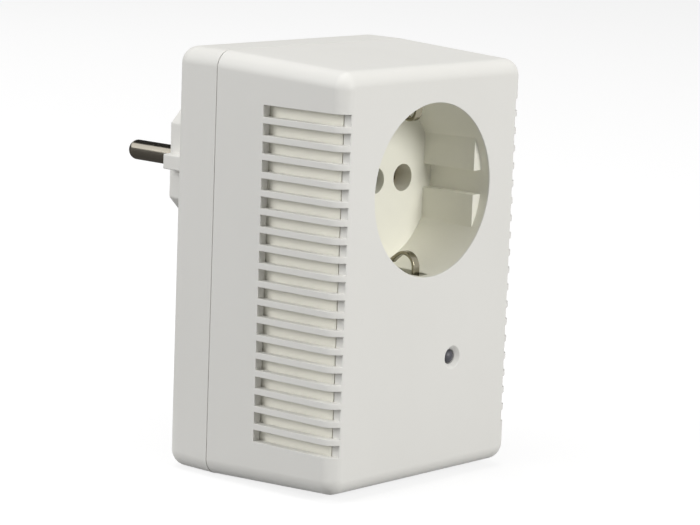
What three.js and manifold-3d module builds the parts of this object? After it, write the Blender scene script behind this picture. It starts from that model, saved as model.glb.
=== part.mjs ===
// Mains powerline adapter with an earthed pass-through socket.
// Millimetres, +Z up. The front face looks along -Y and the mains plug points along +Y.
// Every length along Y below is measured back from the front face; the whole
// assembly is shifted at the end so that the origin lies midway along its depth,
// on the surface that the housing stands on.
import * as THREE from 'three';
import { mergeVertices } from 'three/addons/utils/BufferGeometryUtils.js';
import Module from 'manifold-3d';

const wasm = await Module();
wasm.setup();

// ---------------------------------------------------------------- driving sizes
const RUN_GAP = 0.3;            // clearance round a piece that passes through another
const SEAT_GAP = 0.1;           // gap between two flat faces that rest on each other
const PAST = 1.0;               // how far a cut, or the root of a joined piece, runs past a surface

// Housing: a front shell that widens towards its seam, and a straight rear shell.
const FRONT_W = 61.4;
const FRONT_H = 94.3;
const FRONT_LIFT = 1.4;         // height of the front face's lower edge
const SEAM_W = 65.2;
const SEAM_H = 97.4;
const SEAM_Y = 37.0;
const SEAM_GROOVE = 0.2;        // open joint line between the two shells
const BACK_Y = 50.4;
const CORNER_R = 3.9;
const FRONT_EDGE_R = 3.4;
const REAR_EDGE_R = 3.8;
const INNER_CORNER_R = 0.6;     // least corner radius of an inner surface
const FACE_T = 2.2;
const WALL = 2.2;
const BACK_T = 2.4;
const LIP_IN = 1.0;             // shell thickness left outside the joint's tongue
const LIP_LEN = 2.0;

// Earthed socket: standard well, pin pitch and guide blocks.
const SOCKET_Z = 67.8;
const WELL_R = 19.75;
const WELL_FLOOR_R = 19.4;
const WELL_DEPTH = 17.5;
const WELL_WALL = 1.6;
const WELL_FLOOR_T = 2.0;
const PIN_PITCH = 19.0;
const PIN_HOLE_R = 3.15;
const PIN_HOLE_LEN = 5.0;       // moulded part of a pin's hole, in front of the contact
const GUIDE_FLAT_X = 16.8;
const GUIDE_CHANNEL_H = 5.5;
const CENTRE_RECESS_R = 3.0;
const CENTRE_RECESS_DEPTH = 4.0;
const CENTRE_BOSS_R = 4.2;
const CENTRE_WEB = 1.5;
const CLIP_SLOT_W = 4.6;
const CLIP_SLOT_END = 12.2;
const COLLAR_T = 1.2;
const COLLAR_END = 6.0;
const CENTRE_HEAD_T = 1.5;
const CENTRE_SLOT_W = 0.8;
const CENTRE_SLOT_DEPTH = 0.7;
const CENTRE_SCREW_BITE = 8.0;  // from the strap's front face to the screw's end

// Sprung earth clips and their strap.
const CLIP_W = 2.1;
const CLIP_T = 0.8;
const CLIP_PEAK_R = 14.8;       // distance of the clip's crest from the socket axis
const CLIP_PEAK_Y = 7.7;
const CLIP_LEG_Y = 4.4;
const CLIP_TIP_R = 17.7;
const CLIP_TIP_Y = 11.5;
const CLIP_ARM_GAP = 1.0;       // from the well's outside to the clip's arm
const CLIP_BEND = 1.4;          // size of the bend between arm and leg
const CLIP_LEG_END = 3.2;       // height above the crest where the straight leg ends
const CLIP_CREST_RISE = 1.4;
const CLIP_CREST_RUN = 1.7;
const CLIP_CREST_OUT = 1.2;
const CLIP_LEG_LEAN = 0.2;
const CLIP_ROOT_PROUD = 0.6;    // how far the arm's root stands past the strap
const STRAP_W = 8.0;
const STRAP_T = 0.8;

// Sleeve contacts behind the pin holes.
const SLEEVE_R = 3.3;
const SLEEVE_BORE_R = 2.5;
const SLEEVE_SPARE = 0.5;       // room past the end of an inserted plug's pin
const SLEEVE_SLIT = 0.8;
const HOLDER_WALL = 1.0;
const HOLDER_LEN = 5.5;
const SLIT_STOP = 3.0;          // solid length left behind the sleeve's slit
const TAB_W = 3.0;
const TAB_T = 0.8;
const TAIL_DROP = 6.0;
const TAIL_PROUD = 1.2;         // how far a contact's tail stands out behind the board

// Mains plug: moulded body, round pins, side earth contacts.
const PLUG_PROJECTION = 18.2;
const PLUG_R = 18.5;
const PLUG_FLAT_X = 15.6;
const PLUG_FACET = 24.5;        // |x| + |z| on the four slanting facets
const PLUG_WALL = 2.0;
const PLUG_FACE_T = 4.0;
const GROOVE_FLOOR_T = 1.3;      // plastic left under each earth contact's groove
const PLUG_RIB_X = 18.8;
const PLUG_RIB_H = 3.6;
const PLUG_RIB_SETBACK = 0.9;
const PLUG_FLANGE_LIP = 4.0;
const PLUG_FLANGE_T = 2.4;
const PIN_R = 2.4;
const PIN_LEN = 19.0;
const PIN_TIP_R = 1.9;
const PIN_COLLAR_R = 3.1;
const PIN_COLLAR_T = 1.5;
const PIN_SHANK_R = 1.6;
const PIN_FIT_GAP = 0.15;       // clearance of a pin in the plug's face
const EARTH_TIP_SETBACK = 1.6;
const EARTH_W = 5.2;
const EARTH_T = 0.8;
const EARTH_CONTACT_R = 16.0;   // distance of the contact faces from the plug axis
const POST_R = 2.6;
const POST_BORE_SPARE = 2.0;    // depth of the post's bore past the screw's end

// Side vents.
const VENT_COUNT = 19;
const VENT_PITCH = 4.08;
const VENT_H = 2.65;
const VENT_FIRST_Z = 10.5;
const VENT_REAR_Y = 23.1;
const VENT_CUT = 2.45;
const BAFFLE_T = 1.2;
const BAFFLE_MARGIN = 2.4;
const BAFFLE_PAST = 0.8;

// Status light.
const LED_X = 9.1;
const LED_Z = 28.4;
const LED_RECESS_R = 2.65;
const LED_RECESS_DEPTH = 1.0;
const GUIDE_R = 1.6;
const GUIDE_FLANGE_R = 2.6;
const GUIDE_FLANGE_T = 1.0;
const GUIDE_SINK = 0.4;
const GUIDE_DOME_RISE = 1.2;
const LED_H = 3.4;
const LED_R = 1.5;
const LED_BASE_R = 1.8;
const LED_BASE_H = 1.0;

// Circuit board and the screws that hold the shells together.
const BOARD_STANDOFF = 0.9;     // from the sleeve contacts to the board
const BOARD_T = 1.6;
const BOARD_MARGIN = 1.6;
const BOARD_CORNER_R = 2.0;
const BACK_CLEAR = 1.3;         // from the tallest component to the housing's back
const SCREW_X = 23.5;
const SCREW_INSET_Z = 8.4;
const SCREW_R = 1.4;
const SCREW_BITE = 5.0;         // length of screw in the front shell's boss
const SCREW_BORE_SPARE = 2.0;
const SCREW_HEAD_R = 2.8;
const SCREW_HEAD_T = 2.2;
const SCREW_SINK = 6.0;
const CROSS_R = 1.6;
const CROSS_W = 0.7;
const CROSS_DEPTH = 1.1;
const BOSS_R = 3.1;
const PILLAR_R = 4.3;

// Network jack in the underside.
const JACK_W = 16.0;
const JACK_D = 13.4;
const JACK_LEN = 20.0;
const JACK_Z = 1.0;
const JACK_PORT_W = 11.9;
const JACK_PORT_D = 8.3;
const JACK_PORT_LEN = 12.5;
const JACK_KEY_W = 6.2;
const JACK_KEY_D = 1.9;
const JACK_KEY_SHORT = 3.0;
const JACK_PORT_SHIFT = 0.6;    // the port lies this far in front of the jack's middle

// Components on the board.
const LOW_ROW_Z = 16.0;         // middle of the lowest row of components
const MODEM_X = -12.0;
const MODEM_ROW = 0.56;
const MODEM_SIZE = 14.0;
const MODEM_T = 1.4;
const HEATSINK_SIZE = 14.0;
const HEATSINK_BASE_T = 1.5;
const FIN_COUNT = 5;
const FIN_PITCH = 3.0;
const FIN_T = 1.2;
const CHOKE_X = 18.4;
const CHOKE_Z = 18.6;
const CHOKE_R = 7.6;
const CHOKE_BORE_R = 3.0;
const CHOKE_H = 9.0;
const CAN_GROOVE_DEPTH = 0.5;
const CAN_GROOVE_W = 1.0;
const CAN_GROOVE_UP = 1.4;      // from the board to a capacitor's groove
const TRANSFORMER_X = -17.2;
const TRANSFORMER_ROW = 0.71;
const BOBBIN_W = 12.0;
const BOBBIN_H = 15.0;
const BOBBIN_TALL = 13.0;
const CORE_W = 15.0;
const CORE_H = 5.0;
const CORE_TALL = 15.0;
const VARISTOR_X = 22.6;
const VARISTOR_Z = 54.0;
const VARISTOR_R = 4.6;

// Facets on round shapes.
const FINE = 48;
const ROUND = 24;
const COARSE = 16;
const HEXAGON = 6;
const OUTLINE_SEGMENTS = 8;
const CORNER_SEGMENTS = 5;
const EDGE_SEGMENTS = 4;
const TIP_SEGMENTS = 5;
const DOME_SEGMENTS = 4;
const RIBBON_SEGMENTS = 36;

// ---------------------------------------------------------------- derived sizes
const PLUG_FACE_Y = BACK_Y + PLUG_PROJECTION;
const TOTAL_DEPTH = PLUG_FACE_Y + PIN_LEN;
const WELL_Y = FACE_T + 0.2;
const WELL_OUT_R = WELL_R + WELL_WALL;
const FLOOR_BACK_Y = WELL_DEPTH + WELL_FLOOR_T;
const HOLDER_Y = WELL_DEPTH + PIN_HOLE_LEN;
const SLEEVE_Y = HOLDER_Y + RUN_GAP;
const SLEEVE_END_Y = WELL_DEPTH + PIN_LEN + SLEEVE_SPARE + TAB_T;
const BOARD_Y = SLEEVE_END_Y + BOARD_STANDOFF;
const CENTRE_BOSS_Y = WELL_DEPTH + CENTRE_RECESS_DEPTH + CENTRE_WEB;
const STRAP_Y = CENTRE_BOSS_Y + SEAT_GAP;
const CLIP_ARM_R = WELL_OUT_R + CLIP_ARM_GAP;
const CLIP_ROOT_Y = STRAP_Y + STRAP_T + CLIP_ROOT_PROUD;
const STRAP_END_R = CLIP_ARM_R - RUN_GAP;
const BACK_INNER_Y = BACK_Y - BACK_T;
const FLANGE_Y = BACK_INNER_Y - SEAT_GAP - PLUG_FLANGE_T;
const EARTH_BASE_Y = FLANGE_Y - SEAT_GAP - EARTH_T;
const BOARD_BACK_Y = BOARD_Y + BOARD_T;
const SCREW_LOW_Z = SCREW_INSET_Z;
const SCREW_HIGH_Z = SEAM_H - SCREW_INSET_Z;
const SCREW_SEAT_Y = BACK_Y - SCREW_SINK + SEAT_GAP;
const SCREW_END_Y = BOARD_Y - SCREW_BITE;
const PIN_X = PIN_PITCH / 2;
const SIDES = [['left', -1], ['right', 1]];
const ENDS = [['bottom', -1], ['top', 1]];
const SIDE_DRAFT = Math.atan((SEAM_W - FRONT_W) / 2 / SEAM_Y);

// ---------------------------------------------------------------- materials
function finish(color, roughness, metalness = 0) {
  return new THREE.MeshStandardMaterial({ color, roughness, metalness });
}
const HOUSING = finish(0xdddcd6, 0.62);
const INSERT = finish(0xd6d4c2, 0.55);
const NICKEL = finish(0xbdb8a8, 0.25, 1);
const BRASS = finish(0xc8a44e, 0.35, 1);
const STEEL = finish(0x9a9c9e, 0.4, 1);
const SMOKED = finish(0x3c4146, 0.15);
const CLEAR = finish(0x9fa6ac, 0.2);
const BOARD = finish(0x1f6b3a, 0.5);
const BLACK = finish(0x1c1c1e, 0.55);
const CAN = finish(0x2b3550, 0.4);
const ALUMINIUM = finish(0xb8bcc0, 0.35, 1);
const YELLOW = finish(0xd9b13a, 0.5);
const BLUE = finish(0x2d5fae, 0.45);
const FERRITE = finish(0x35322f, 0.7);

// ---------------------------------------------------------------- solid helpers
function solid(geometry) {
  geometry.deleteAttribute('normal');
  geometry.deleteAttribute('uv');
  const merged = mergeVertices(geometry, 1e-4);
  return new wasm.Manifold(new wasm.Mesh({
    numProp: 3,
    vertProperties: new Float32Array(merged.attributes.position.array),
    triVerts: new Uint32Array(merged.index.array),
  }));
}

function geometryOf(manifold) {
  const mesh = manifold.getMesh();
  const geometry = new THREE.BufferGeometry();
  geometry.setAttribute('position', new THREE.BufferAttribute(mesh.vertProperties, 3));
  geometry.setIndex(new THREE.BufferAttribute(mesh.triVerts, 1));
  return geometry;
}

function named(name, manifold, material) {
  const mesh = new THREE.Mesh(geometryOf(manifold), material);
  mesh.name = name;
  return mesh;
}

function union(...parts) {
  return parts.reduce((whole, part) => whole.add(part));
}

function cut(body, ...tools) {
  return tools.reduce((rest, tool) => rest.subtract(tool), body);
}

function box(x0, x1, y0, y1, z0, z1) {
  const geometry = new THREE.BoxGeometry(x1 - x0, y1 - y0, z1 - z0);
  geometry.translate((x0 + x1) / 2, (y0 + y1) / 2, (z0 + z1) / 2);
  return solid(geometry);
}

// Cylinder or cone along Y: radius r0 at y0 and r1 at y1.
function rod(x, z, r0, y0, y1, segments = ROUND, r1 = r0) {
  const geometry = new THREE.CylinderGeometry(r1, r0, y1 - y0, segments);
  geometry.translate(x, (y0 + y1) / 2, z);
  return solid(geometry);
}

// Outline in the XZ plane, extruded along Y from y0 to y1.
function slabY(shape, y0, y1, curveSegments = OUTLINE_SEGMENTS) {
  const geometry = new THREE.ExtrudeGeometry(shape, { depth: y1 - y0, bevelEnabled: false, curveSegments });
  geometry.rotateX(Math.PI / 2);
  geometry.translate(0, y1, 0);
  return solid(geometry);
}

// Outline in the YZ plane, extruded along X from x0 to x1.
function slabX(shape, x0, x1) {
  const geometry = new THREE.ExtrudeGeometry(shape, { depth: x1 - x0, bevelEnabled: false });
  const turn = new THREE.Matrix4().makeBasis(
    new THREE.Vector3(0, 1, 0),
    new THREE.Vector3(0, 0, 1),
    new THREE.Vector3(1, 0, 0),
  );
  geometry.applyMatrix4(turn);
  geometry.translate(x0, 0, 0);
  return solid(geometry);
}

// Turned piece: [radius, y] points, closed on the axis, revolved about a line along Y.
function turned(x, z, profile, segments = ROUND) {
  const points = profile.map(([radius, y]) => new THREE.Vector2(radius, y));
  const geometry = new THREE.LatheGeometry(points, segments);
  geometry.translate(x, 0, z);
  return solid(geometry);
}

function roundedRect(width, height, centreZ, radius) {
  const x = width / 2;
  const z0 = centreZ - height / 2;
  const z1 = centreZ + height / 2;
  const shape = new THREE.Shape();
  shape.moveTo(-x + radius, z0);
  shape.lineTo(x - radius, z0);
  shape.absarc(x - radius, z0 + radius, radius, -Math.PI / 2, 0, false);
  shape.lineTo(x, z1 - radius);
  shape.absarc(x - radius, z1 - radius, radius, 0, Math.PI / 2, false);
  shape.lineTo(-x + radius, z1);
  shape.absarc(-x + radius, z1 - radius, radius, Math.PI / 2, Math.PI, false);
  shape.lineTo(-x, z0 + radius);
  shape.absarc(-x + radius, z0 + radius, radius, Math.PI, Math.PI * 1.5, false);
  return shape;
}

// Block with rounded corners and a rounded edge of radius edgeR at both ends.
function roundedBlock(width, height, centreZ, cornerR, edgeR, y0, y1) {
  const shape = roundedRect(width, height, centreZ, cornerR);
  const geometry = new THREE.ExtrudeGeometry(shape, {
    depth: y1 - y0 - 2 * edgeR,
    bevelEnabled: edgeR > 0,
    bevelThickness: edgeR,
    bevelSize: edgeR,
    bevelOffset: -edgeR,
    bevelSegments: EDGE_SEGMENTS,
    curveSegments: CORNER_SEGMENTS,
  });
  geometry.rotateX(Math.PI / 2);
  geometry.translate(0, y1 - edgeR, 0);
  return geometry;
}

// ---------------------------------------------------------------- housing shells
const FRONT_MID_Z = FRONT_LIFT + FRONT_H / 2;
const SEAM_MID_Z = SEAM_H / 2;

// Widens a block from the front face's size at y = 0 to the seam's size at SEAM_Y.
function widen(geometry) {
  const points = geometry.attributes.position;
  for (let i = 0; i < points.count; i += 1) {
    const share = points.getY(i) / SEAM_Y;
    const midZ = THREE.MathUtils.lerp(FRONT_MID_Z, SEAM_MID_Z, share);
    const growX = 1 + share * (SEAM_W / FRONT_W - 1);
    const growZ = 1 + share * (SEAM_H / FRONT_H - 1);
    points.setX(i, points.getX(i) * growX);
    points.setZ(i, midZ + (points.getZ(i) - FRONT_MID_Z) * growZ);
  }
  return geometry;
}

function frontBlock(inset, edgeR, y0, y1) {
  const cornerR = Math.max(CORNER_R - inset, INNER_CORNER_R);
  const block = roundedBlock(FRONT_W - 2 * inset, FRONT_H - 2 * inset, FRONT_MID_Z, cornerR, edgeR, y0, y1);
  return solid(widen(block));
}

function rearBlock(inset, edgeR, y0, y1) {
  const cornerR = Math.max(CORNER_R - inset, INNER_CORNER_R);
  return solid(roundedBlock(SEAM_W - 2 * inset, SEAM_H - 2 * inset, SEAM_MID_Z, cornerR, edgeR, y0, y1));
}

const SPAN_X = SEAM_W;          // half-length of tools that cut right across the housing
const SPAN_Z = 2 * SEAM_H;

function slice(body, y0, y1) {
  return body.intersect(box(-SPAN_X, SPAN_X, y0, y1, -SPAN_Z, SPAN_Z));
}

// The housing's outer width, height and middle height at depth y.
function outerSize(y) {
  const share = Math.min(y / SEAM_Y, 1);
  return {
    width: THREE.MathUtils.lerp(FRONT_W, SEAM_W, share),
    height: THREE.MathUtils.lerp(FRONT_H, SEAM_H, share),
    midZ: THREE.MathUtils.lerp(FRONT_MID_Z, SEAM_MID_Z, share),
  };
}

// Plate that follows the shell's slanting side, from depthOut to depthIn below its surface.
function sidePlate(side, depthOut, depthIn, y0, y1, z0, z1) {
  const geometry = new THREE.BoxGeometry(depthIn - depthOut, y1 - y0, z1 - z0);
  geometry.translate(-(depthIn + depthOut) / 2, (y0 + y1) / 2, (z0 + z1) / 2);
  geometry.rotateZ(-SIDE_DRAFT);
  geometry.translate(FRONT_W / 2, 0, 0);
  const plate = solid(geometry);
  return side > 0 ? plate : plate.mirror([1, 0, 0]);
}

function ventCutters(side) {
  const cutters = [];
  for (let row = 0; row < VENT_COUNT; row += 1) {
    const z = VENT_FIRST_Z + row * VENT_PITCH;
    cutters.push(sidePlate(side, -CORNER_R, VENT_CUT, -CORNER_R, VENT_REAR_Y, z, z + VENT_H));
  }
  return cutters;
}

function screwPlaces() {
  return [
    [-SCREW_X, SCREW_LOW_Z],
    [SCREW_X, SCREW_LOW_Z],
    [-SCREW_X, SCREW_HIGH_Z],
    [SCREW_X, SCREW_HIGH_Z],
  ];
}

const JACK_BACK_Y = BOARD_Y - SEAT_GAP;
const JACK_FRONT_Y = JACK_BACK_Y - JACK_D;

// Window in the underside for the network jack.
function jackWindow() {
  const halfW = JACK_W / 2 + RUN_GAP;
  return box(-halfW, halfW, JACK_FRONT_Y - RUN_GAP, JACK_BACK_Y + RUN_GAP, -PAST, FRONT_LIFT + WALL + PAST);
}

function frontHousing() {
  const reach = SEAM_Y + 2 * FRONT_EDGE_R;
  const outer = slice(frontBlock(0, FRONT_EDGE_R, 0, reach), -PAST, SEAM_Y - SEAM_GROOVE / 2);
  const cavity = frontBlock(WALL, 0, FACE_T, reach);
  const rebate = frontBlock(LIP_IN, 0, SEAM_Y - LIP_LEN - RUN_GAP, reach);
  let shell = cut(outer, cavity, rebate);

  const clipGap = box(-STRAP_W / 2, STRAP_W / 2, FACE_T, COLLAR_END + PAST,
    SOCKET_Z - SPAN_X, SOCKET_Z + SPAN_X);
  const ringR = WELL_OUT_R + RUN_GAP;
  const collar = cut(
    rod(0, SOCKET_Z, ringR + COLLAR_T, FACE_T - PAST, COLLAR_END, FINE),
    rod(0, SOCKET_Z, ringR, FACE_T, COLLAR_END + PAST, FINE),
    clipGap,
  );
  shell = shell.add(collar);

  for (const [x, z] of screwPlaces()) {
    shell = shell.add(rod(x, z, BOSS_R, FACE_T - PAST, BOARD_Y - SEAT_GAP, COARSE));
  }
  const ledSleeve = rod(LED_X, LED_Z, GUIDE_FLANGE_R + RUN_GAP + COLLAR_T, FACE_T - PAST, COLLAR_END, COARSE);
  shell = shell.add(ledSleeve);

  const recessSlope = (LED_RECESS_R - GUIDE_R - RUN_GAP) / LED_RECESS_DEPTH;
  const tools = [
    rod(0, SOCKET_Z, WELL_R, -PAST, FACE_T + PAST, FINE),
    rod(LED_X, LED_Z, GUIDE_R + RUN_GAP, -PAST, COLLAR_END + PAST, ROUND),
    rod(LED_X, LED_Z, LED_RECESS_R + recessSlope * PAST, -PAST, LED_RECESS_DEPTH, ROUND, GUIDE_R + RUN_GAP),
    rod(LED_X, LED_Z, GUIDE_FLANGE_R + RUN_GAP, FACE_T, COLLAR_END + PAST, ROUND),
    jackWindow(),
    ...ventCutters(-1),
    ...ventCutters(1),
  ];
  for (const [x, z] of screwPlaces()) {
    tools.push(rod(x, z, SCREW_R + RUN_GAP, SCREW_END_Y - SCREW_BORE_SPARE, BOARD_Y + PAST, COARSE));
  }
  return named('front_housing', cut(shell, ...tools), HOUSING);
}

function plugOutline(grow = 0) {
  const radius = PLUG_R + grow;
  const flat = PLUG_FLAT_X + grow;
  const facet = PLUG_FACET + grow * Math.SQRT2;
  const crossX = (facet - Math.sqrt(2 * radius * radius - facet * facet)) / 2;
  const start = Math.atan2(facet - crossX, crossX);
  const shape = new THREE.Shape();
  shape.moveTo(flat, SOCKET_Z - (facet - flat));
  shape.lineTo(flat, SOCKET_Z + (facet - flat));
  shape.absarc(0, SOCKET_Z, radius, start, Math.PI - start, false);
  shape.lineTo(-flat, SOCKET_Z + (facet - flat));
  shape.lineTo(-flat, SOCKET_Z - (facet - flat));
  shape.absarc(0, SOCKET_Z, radius, Math.PI + start, 2 * Math.PI - start, false);
  return shape;
}

function rearHousing() {
  const block = rearBlock(0, REAR_EDGE_R, SEAM_Y - 2 * REAR_EDGE_R, BACK_Y);
  const outer = slice(block, SEAM_Y + SEAM_GROOVE / 2, BACK_Y + PAST);
  const tongue = frontBlock(LIP_IN + RUN_GAP, 0, SEAM_Y - LIP_LEN, SEAM_Y + SEAM_GROOVE / 2 + PAST);
  const taperedCavity = frontBlock(WALL, 0, SEAM_Y - 2 * LIP_LEN, SEAM_Y);
  const straightCavity = rearBlock(WALL, 0, SEAM_Y - SEAM_GROOVE / 2, BACK_INNER_Y);
  let shell = cut(union(outer, tongue), taperedCavity, straightCavity);

  const tools = [
    jackWindow(),
    slabY(plugOutline(RUN_GAP), BACK_INNER_Y - PAST, BACK_Y + PAST),
    box(-PLUG_RIB_X - RUN_GAP, PLUG_RIB_X + RUN_GAP, BACK_INNER_Y - PAST, BACK_Y + PAST,
      SOCKET_Z - PLUG_RIB_H / 2 - RUN_GAP, SOCKET_Z + PLUG_RIB_H / 2 + RUN_GAP),
  ];
  for (const [x, z] of screwPlaces()) {
    shell = shell.add(rod(x, z, PILLAR_R, BOARD_BACK_Y + SEAT_GAP, BACK_INNER_Y + PAST, COARSE));
    tools.push(rod(x, z, SCREW_R + RUN_GAP, BOARD_Y, BACK_Y, COARSE));
    tools.push(rod(x, z, SCREW_HEAD_R + RUN_GAP, BACK_Y - SCREW_SINK, BACK_Y + PAST, COARSE));
  }
  return named('rear_housing', cut(shell, ...tools), HOUSING);
}

function ventBaffle(name, side) {
  const out = WALL + RUN_GAP;
  const z0 = VENT_FIRST_Z - BAFFLE_MARGIN;
  const z1 = VENT_FIRST_Z + (VENT_COUNT - 1) * VENT_PITCH + VENT_H + BAFFLE_MARGIN;
  const y0 = FACE_T + SEAT_GAP;
  const plate = sidePlate(side, out, out + BAFFLE_T, y0, VENT_REAR_Y + BAFFLE_PAST, z0, z1);
  return named(name, plate, HOUSING);
}

// ---------------------------------------------------------------- socket
function socketWell() {
  const barrel = rod(0, SOCKET_Z, WELL_OUT_R, WELL_Y, FLOOR_BACK_Y, FINE);
  const boss = rod(0, SOCKET_Z, CENTRE_BOSS_R, FLOOR_BACK_Y - PAST, CENTRE_BOSS_Y, ROUND);
  let body = union(barrel, boss);
  for (const [, side] of SIDES) {
    const holder = rod(side * PIN_X, SOCKET_Z, SLEEVE_R + RUN_GAP + HOLDER_WALL,
      FLOOR_BACK_Y - PAST, HOLDER_Y + HOLDER_LEN, ROUND);
    body = body.add(holder);
  }
  const mouthR = THREE.MathUtils.lerp(WELL_R, WELL_FLOOR_R, (WELL_Y - PAST) / WELL_DEPTH);
  let hollow = rod(0, SOCKET_Z, mouthR, WELL_Y - PAST, WELL_DEPTH, FINE, WELL_FLOOR_R);
  for (const [, side] of SIDES) {
    for (const [, end] of ENDS) {
      const x = [side * GUIDE_FLAT_X, side * (WELL_OUT_R + PAST)].sort((a, b) => a - b);
      const z = [end * GUIDE_CHANNEL_H / 2, end * WELL_R].sort((a, b) => a - b);
      const block = box(x[0], x[1], WELL_Y - 2 * PAST, WELL_DEPTH + PAST, SOCKET_Z + z[0], SOCKET_Z + z[1]);
      hollow = hollow.subtract(block);
    }
  }
  const tools = [
    hollow,
    rod(0, SOCKET_Z, CENTRE_RECESS_R, WELL_DEPTH - PAST, WELL_DEPTH + CENTRE_RECESS_DEPTH, ROUND),
    rod(0, SOCKET_Z, SCREW_R + RUN_GAP, WELL_DEPTH, CENTRE_BOSS_Y + PAST, COARSE),
    box(-CLIP_SLOT_W / 2, CLIP_SLOT_W / 2, WELL_Y - PAST, CLIP_SLOT_END,
      SOCKET_Z - SPAN_X, SOCKET_Z + SPAN_X),
  ];
  for (const [, side] of SIDES) {
    const boreEnd = HOLDER_Y + HOLDER_LEN + PAST;
    tools.push(rod(side * PIN_X, SOCKET_Z, PIN_HOLE_R, WELL_DEPTH - PAST, HOLDER_Y + PAST, ROUND));
    tools.push(rod(side * PIN_X, SOCKET_Z, SLEEVE_R + RUN_GAP, HOLDER_Y, boreEnd, ROUND));
  }
  return named('socket_well', cut(body, ...tools), INSERT);
}

function socketContact(name, side) {
  const x = side * PIN_X;
  const y1 = SLEEVE_END_Y;
  const slitReach = SLEEVE_R + PAST;
  const sleeve = cut(
    rod(x, SOCKET_Z, SLEEVE_R, SLEEVE_Y, y1, ROUND),
    rod(x, SOCKET_Z, SLEEVE_BORE_R, SLEEVE_Y - PAST, y1 - TAB_T, ROUND),
    box(x - SLEEVE_SLIT / 2, x + SLEEVE_SLIT / 2, SLEEVE_Y - PAST, y1 - SLIT_STOP,
      SOCKET_Z - slitReach, SOCKET_Z + slitReach),
  );
  const tab = box(x - TAB_W / 2, x + TAB_W / 2, y1 - TAB_T, y1, SOCKET_Z - TAIL_DROP, SOCKET_Z);
  const tail = box(x - TAB_W / 2, x + TAB_W / 2, y1 - TAB_T, BOARD_BACK_Y + TAIL_PROUD,
    SOCKET_Z - TAIL_DROP, SOCKET_Z - TAIL_DROP + TAB_T);
  return named(name, union(sleeve, tab, tail), BRASS);
}

function earthStrap() {
  const plate = box(-STRAP_W / 2, STRAP_W / 2, STRAP_Y, STRAP_Y + STRAP_T,
    SOCKET_Z - STRAP_END_R, SOCKET_Z + STRAP_END_R);
  const hole = rod(0, SOCKET_Z, SCREW_R + RUN_GAP, STRAP_Y - PAST, STRAP_Y + STRAP_T + PAST, COARSE);
  return named('socket_earth_strap', plate.subtract(hole), NICKEL);
}

// Bent strip: the outline on both sides of a smooth centre line of [y, z] points.
function ribbon(curve, thickness, steps) {
  const near = [];
  const far = [];
  for (let i = 0; i <= steps; i += 1) {
    const point = curve.getPoint(i / steps);
    const along = curve.getTangent(i / steps);
    const normal = new THREE.Vector2(-along.y, along.x).multiplyScalar(thickness / 2);
    near.push(point.clone().add(normal));
    far.push(point.clone().sub(normal));
  }
  return new THREE.Shape([...near, ...far.reverse()]);
}

function earthClip(name, end) {
  const at = (y, radius) => new THREE.Vector2(y, SOCKET_Z + end * radius);
  const armR = CLIP_ARM_R + CLIP_T / 2;
  const crestR = CLIP_PEAK_R + CLIP_T / 2;
  const legTop = at(CLIP_LEG_Y, CLIP_PEAK_R + CLIP_LEG_END);
  const bendStart = at(CLIP_LEG_Y + CLIP_BEND, armR);
  const bendEnd = at(CLIP_LEG_Y, armR - CLIP_BEND);
  const path = new THREE.CurvePath();
  path.add(new THREE.LineCurve(at(CLIP_ROOT_Y, armR), bendStart));
  path.add(new THREE.QuadraticBezierCurve(bendStart, at(CLIP_LEG_Y, armR), bendEnd));
  path.add(new THREE.LineCurve(bendEnd, legTop));
  path.add(new THREE.CubicBezierCurve(
    legTop, at(CLIP_LEG_Y + CLIP_LEG_LEAN, CLIP_PEAK_R + CLIP_CREST_RISE),
    at(CLIP_PEAK_Y - CLIP_CREST_RUN, crestR), at(CLIP_PEAK_Y, crestR)));
  path.add(new THREE.QuadraticBezierCurve(
    at(CLIP_PEAK_Y, crestR), at(CLIP_PEAK_Y + CLIP_CREST_OUT, crestR), at(CLIP_TIP_Y, CLIP_TIP_R)));
  const strip = slabX(ribbon(path, CLIP_T, RIBBON_SEGMENTS), -CLIP_W / 2, CLIP_W / 2);
  return named(name, strip, NICKEL);
}

function centreScrew() {
  const seatY = WELL_DEPTH + CENTRE_RECESS_DEPTH - SEAT_GAP;
  const headY = seatY - CENTRE_HEAD_T;
  const head = rod(0, SOCKET_Z, CENTRE_RECESS_R - RUN_GAP, headY, seatY, ROUND);
  const slot = box(-CENTRE_RECESS_R, CENTRE_RECESS_R, headY - PAST, headY + CENTRE_SLOT_DEPTH,
    SOCKET_Z - CENTRE_SLOT_W / 2, SOCKET_Z + CENTRE_SLOT_W / 2);
  const shaft = rod(0, SOCKET_Z, SCREW_R, seatY - CENTRE_HEAD_T / 3, STRAP_Y + CENTRE_SCREW_BITE, COARSE);
  return named('socket_centre_screw', cut(union(head, shaft), slot), STEEL);
}

function earthPost() {
  const y0 = STRAP_Y + STRAP_T + SEAT_GAP;
  const y1 = EARTH_BASE_Y - SEAT_GAP;
  const post = rod(0, SOCKET_Z, POST_R, y0, y1, HEXAGON);
  const boreEnd = STRAP_Y + CENTRE_SCREW_BITE + POST_BORE_SPARE;
  const thread = rod(0, SOCKET_Z, SCREW_R + RUN_GAP, y0 - PAST, boreEnd, COARSE);
  return named('earth_post', post.subtract(thread), BRASS);
}

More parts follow.
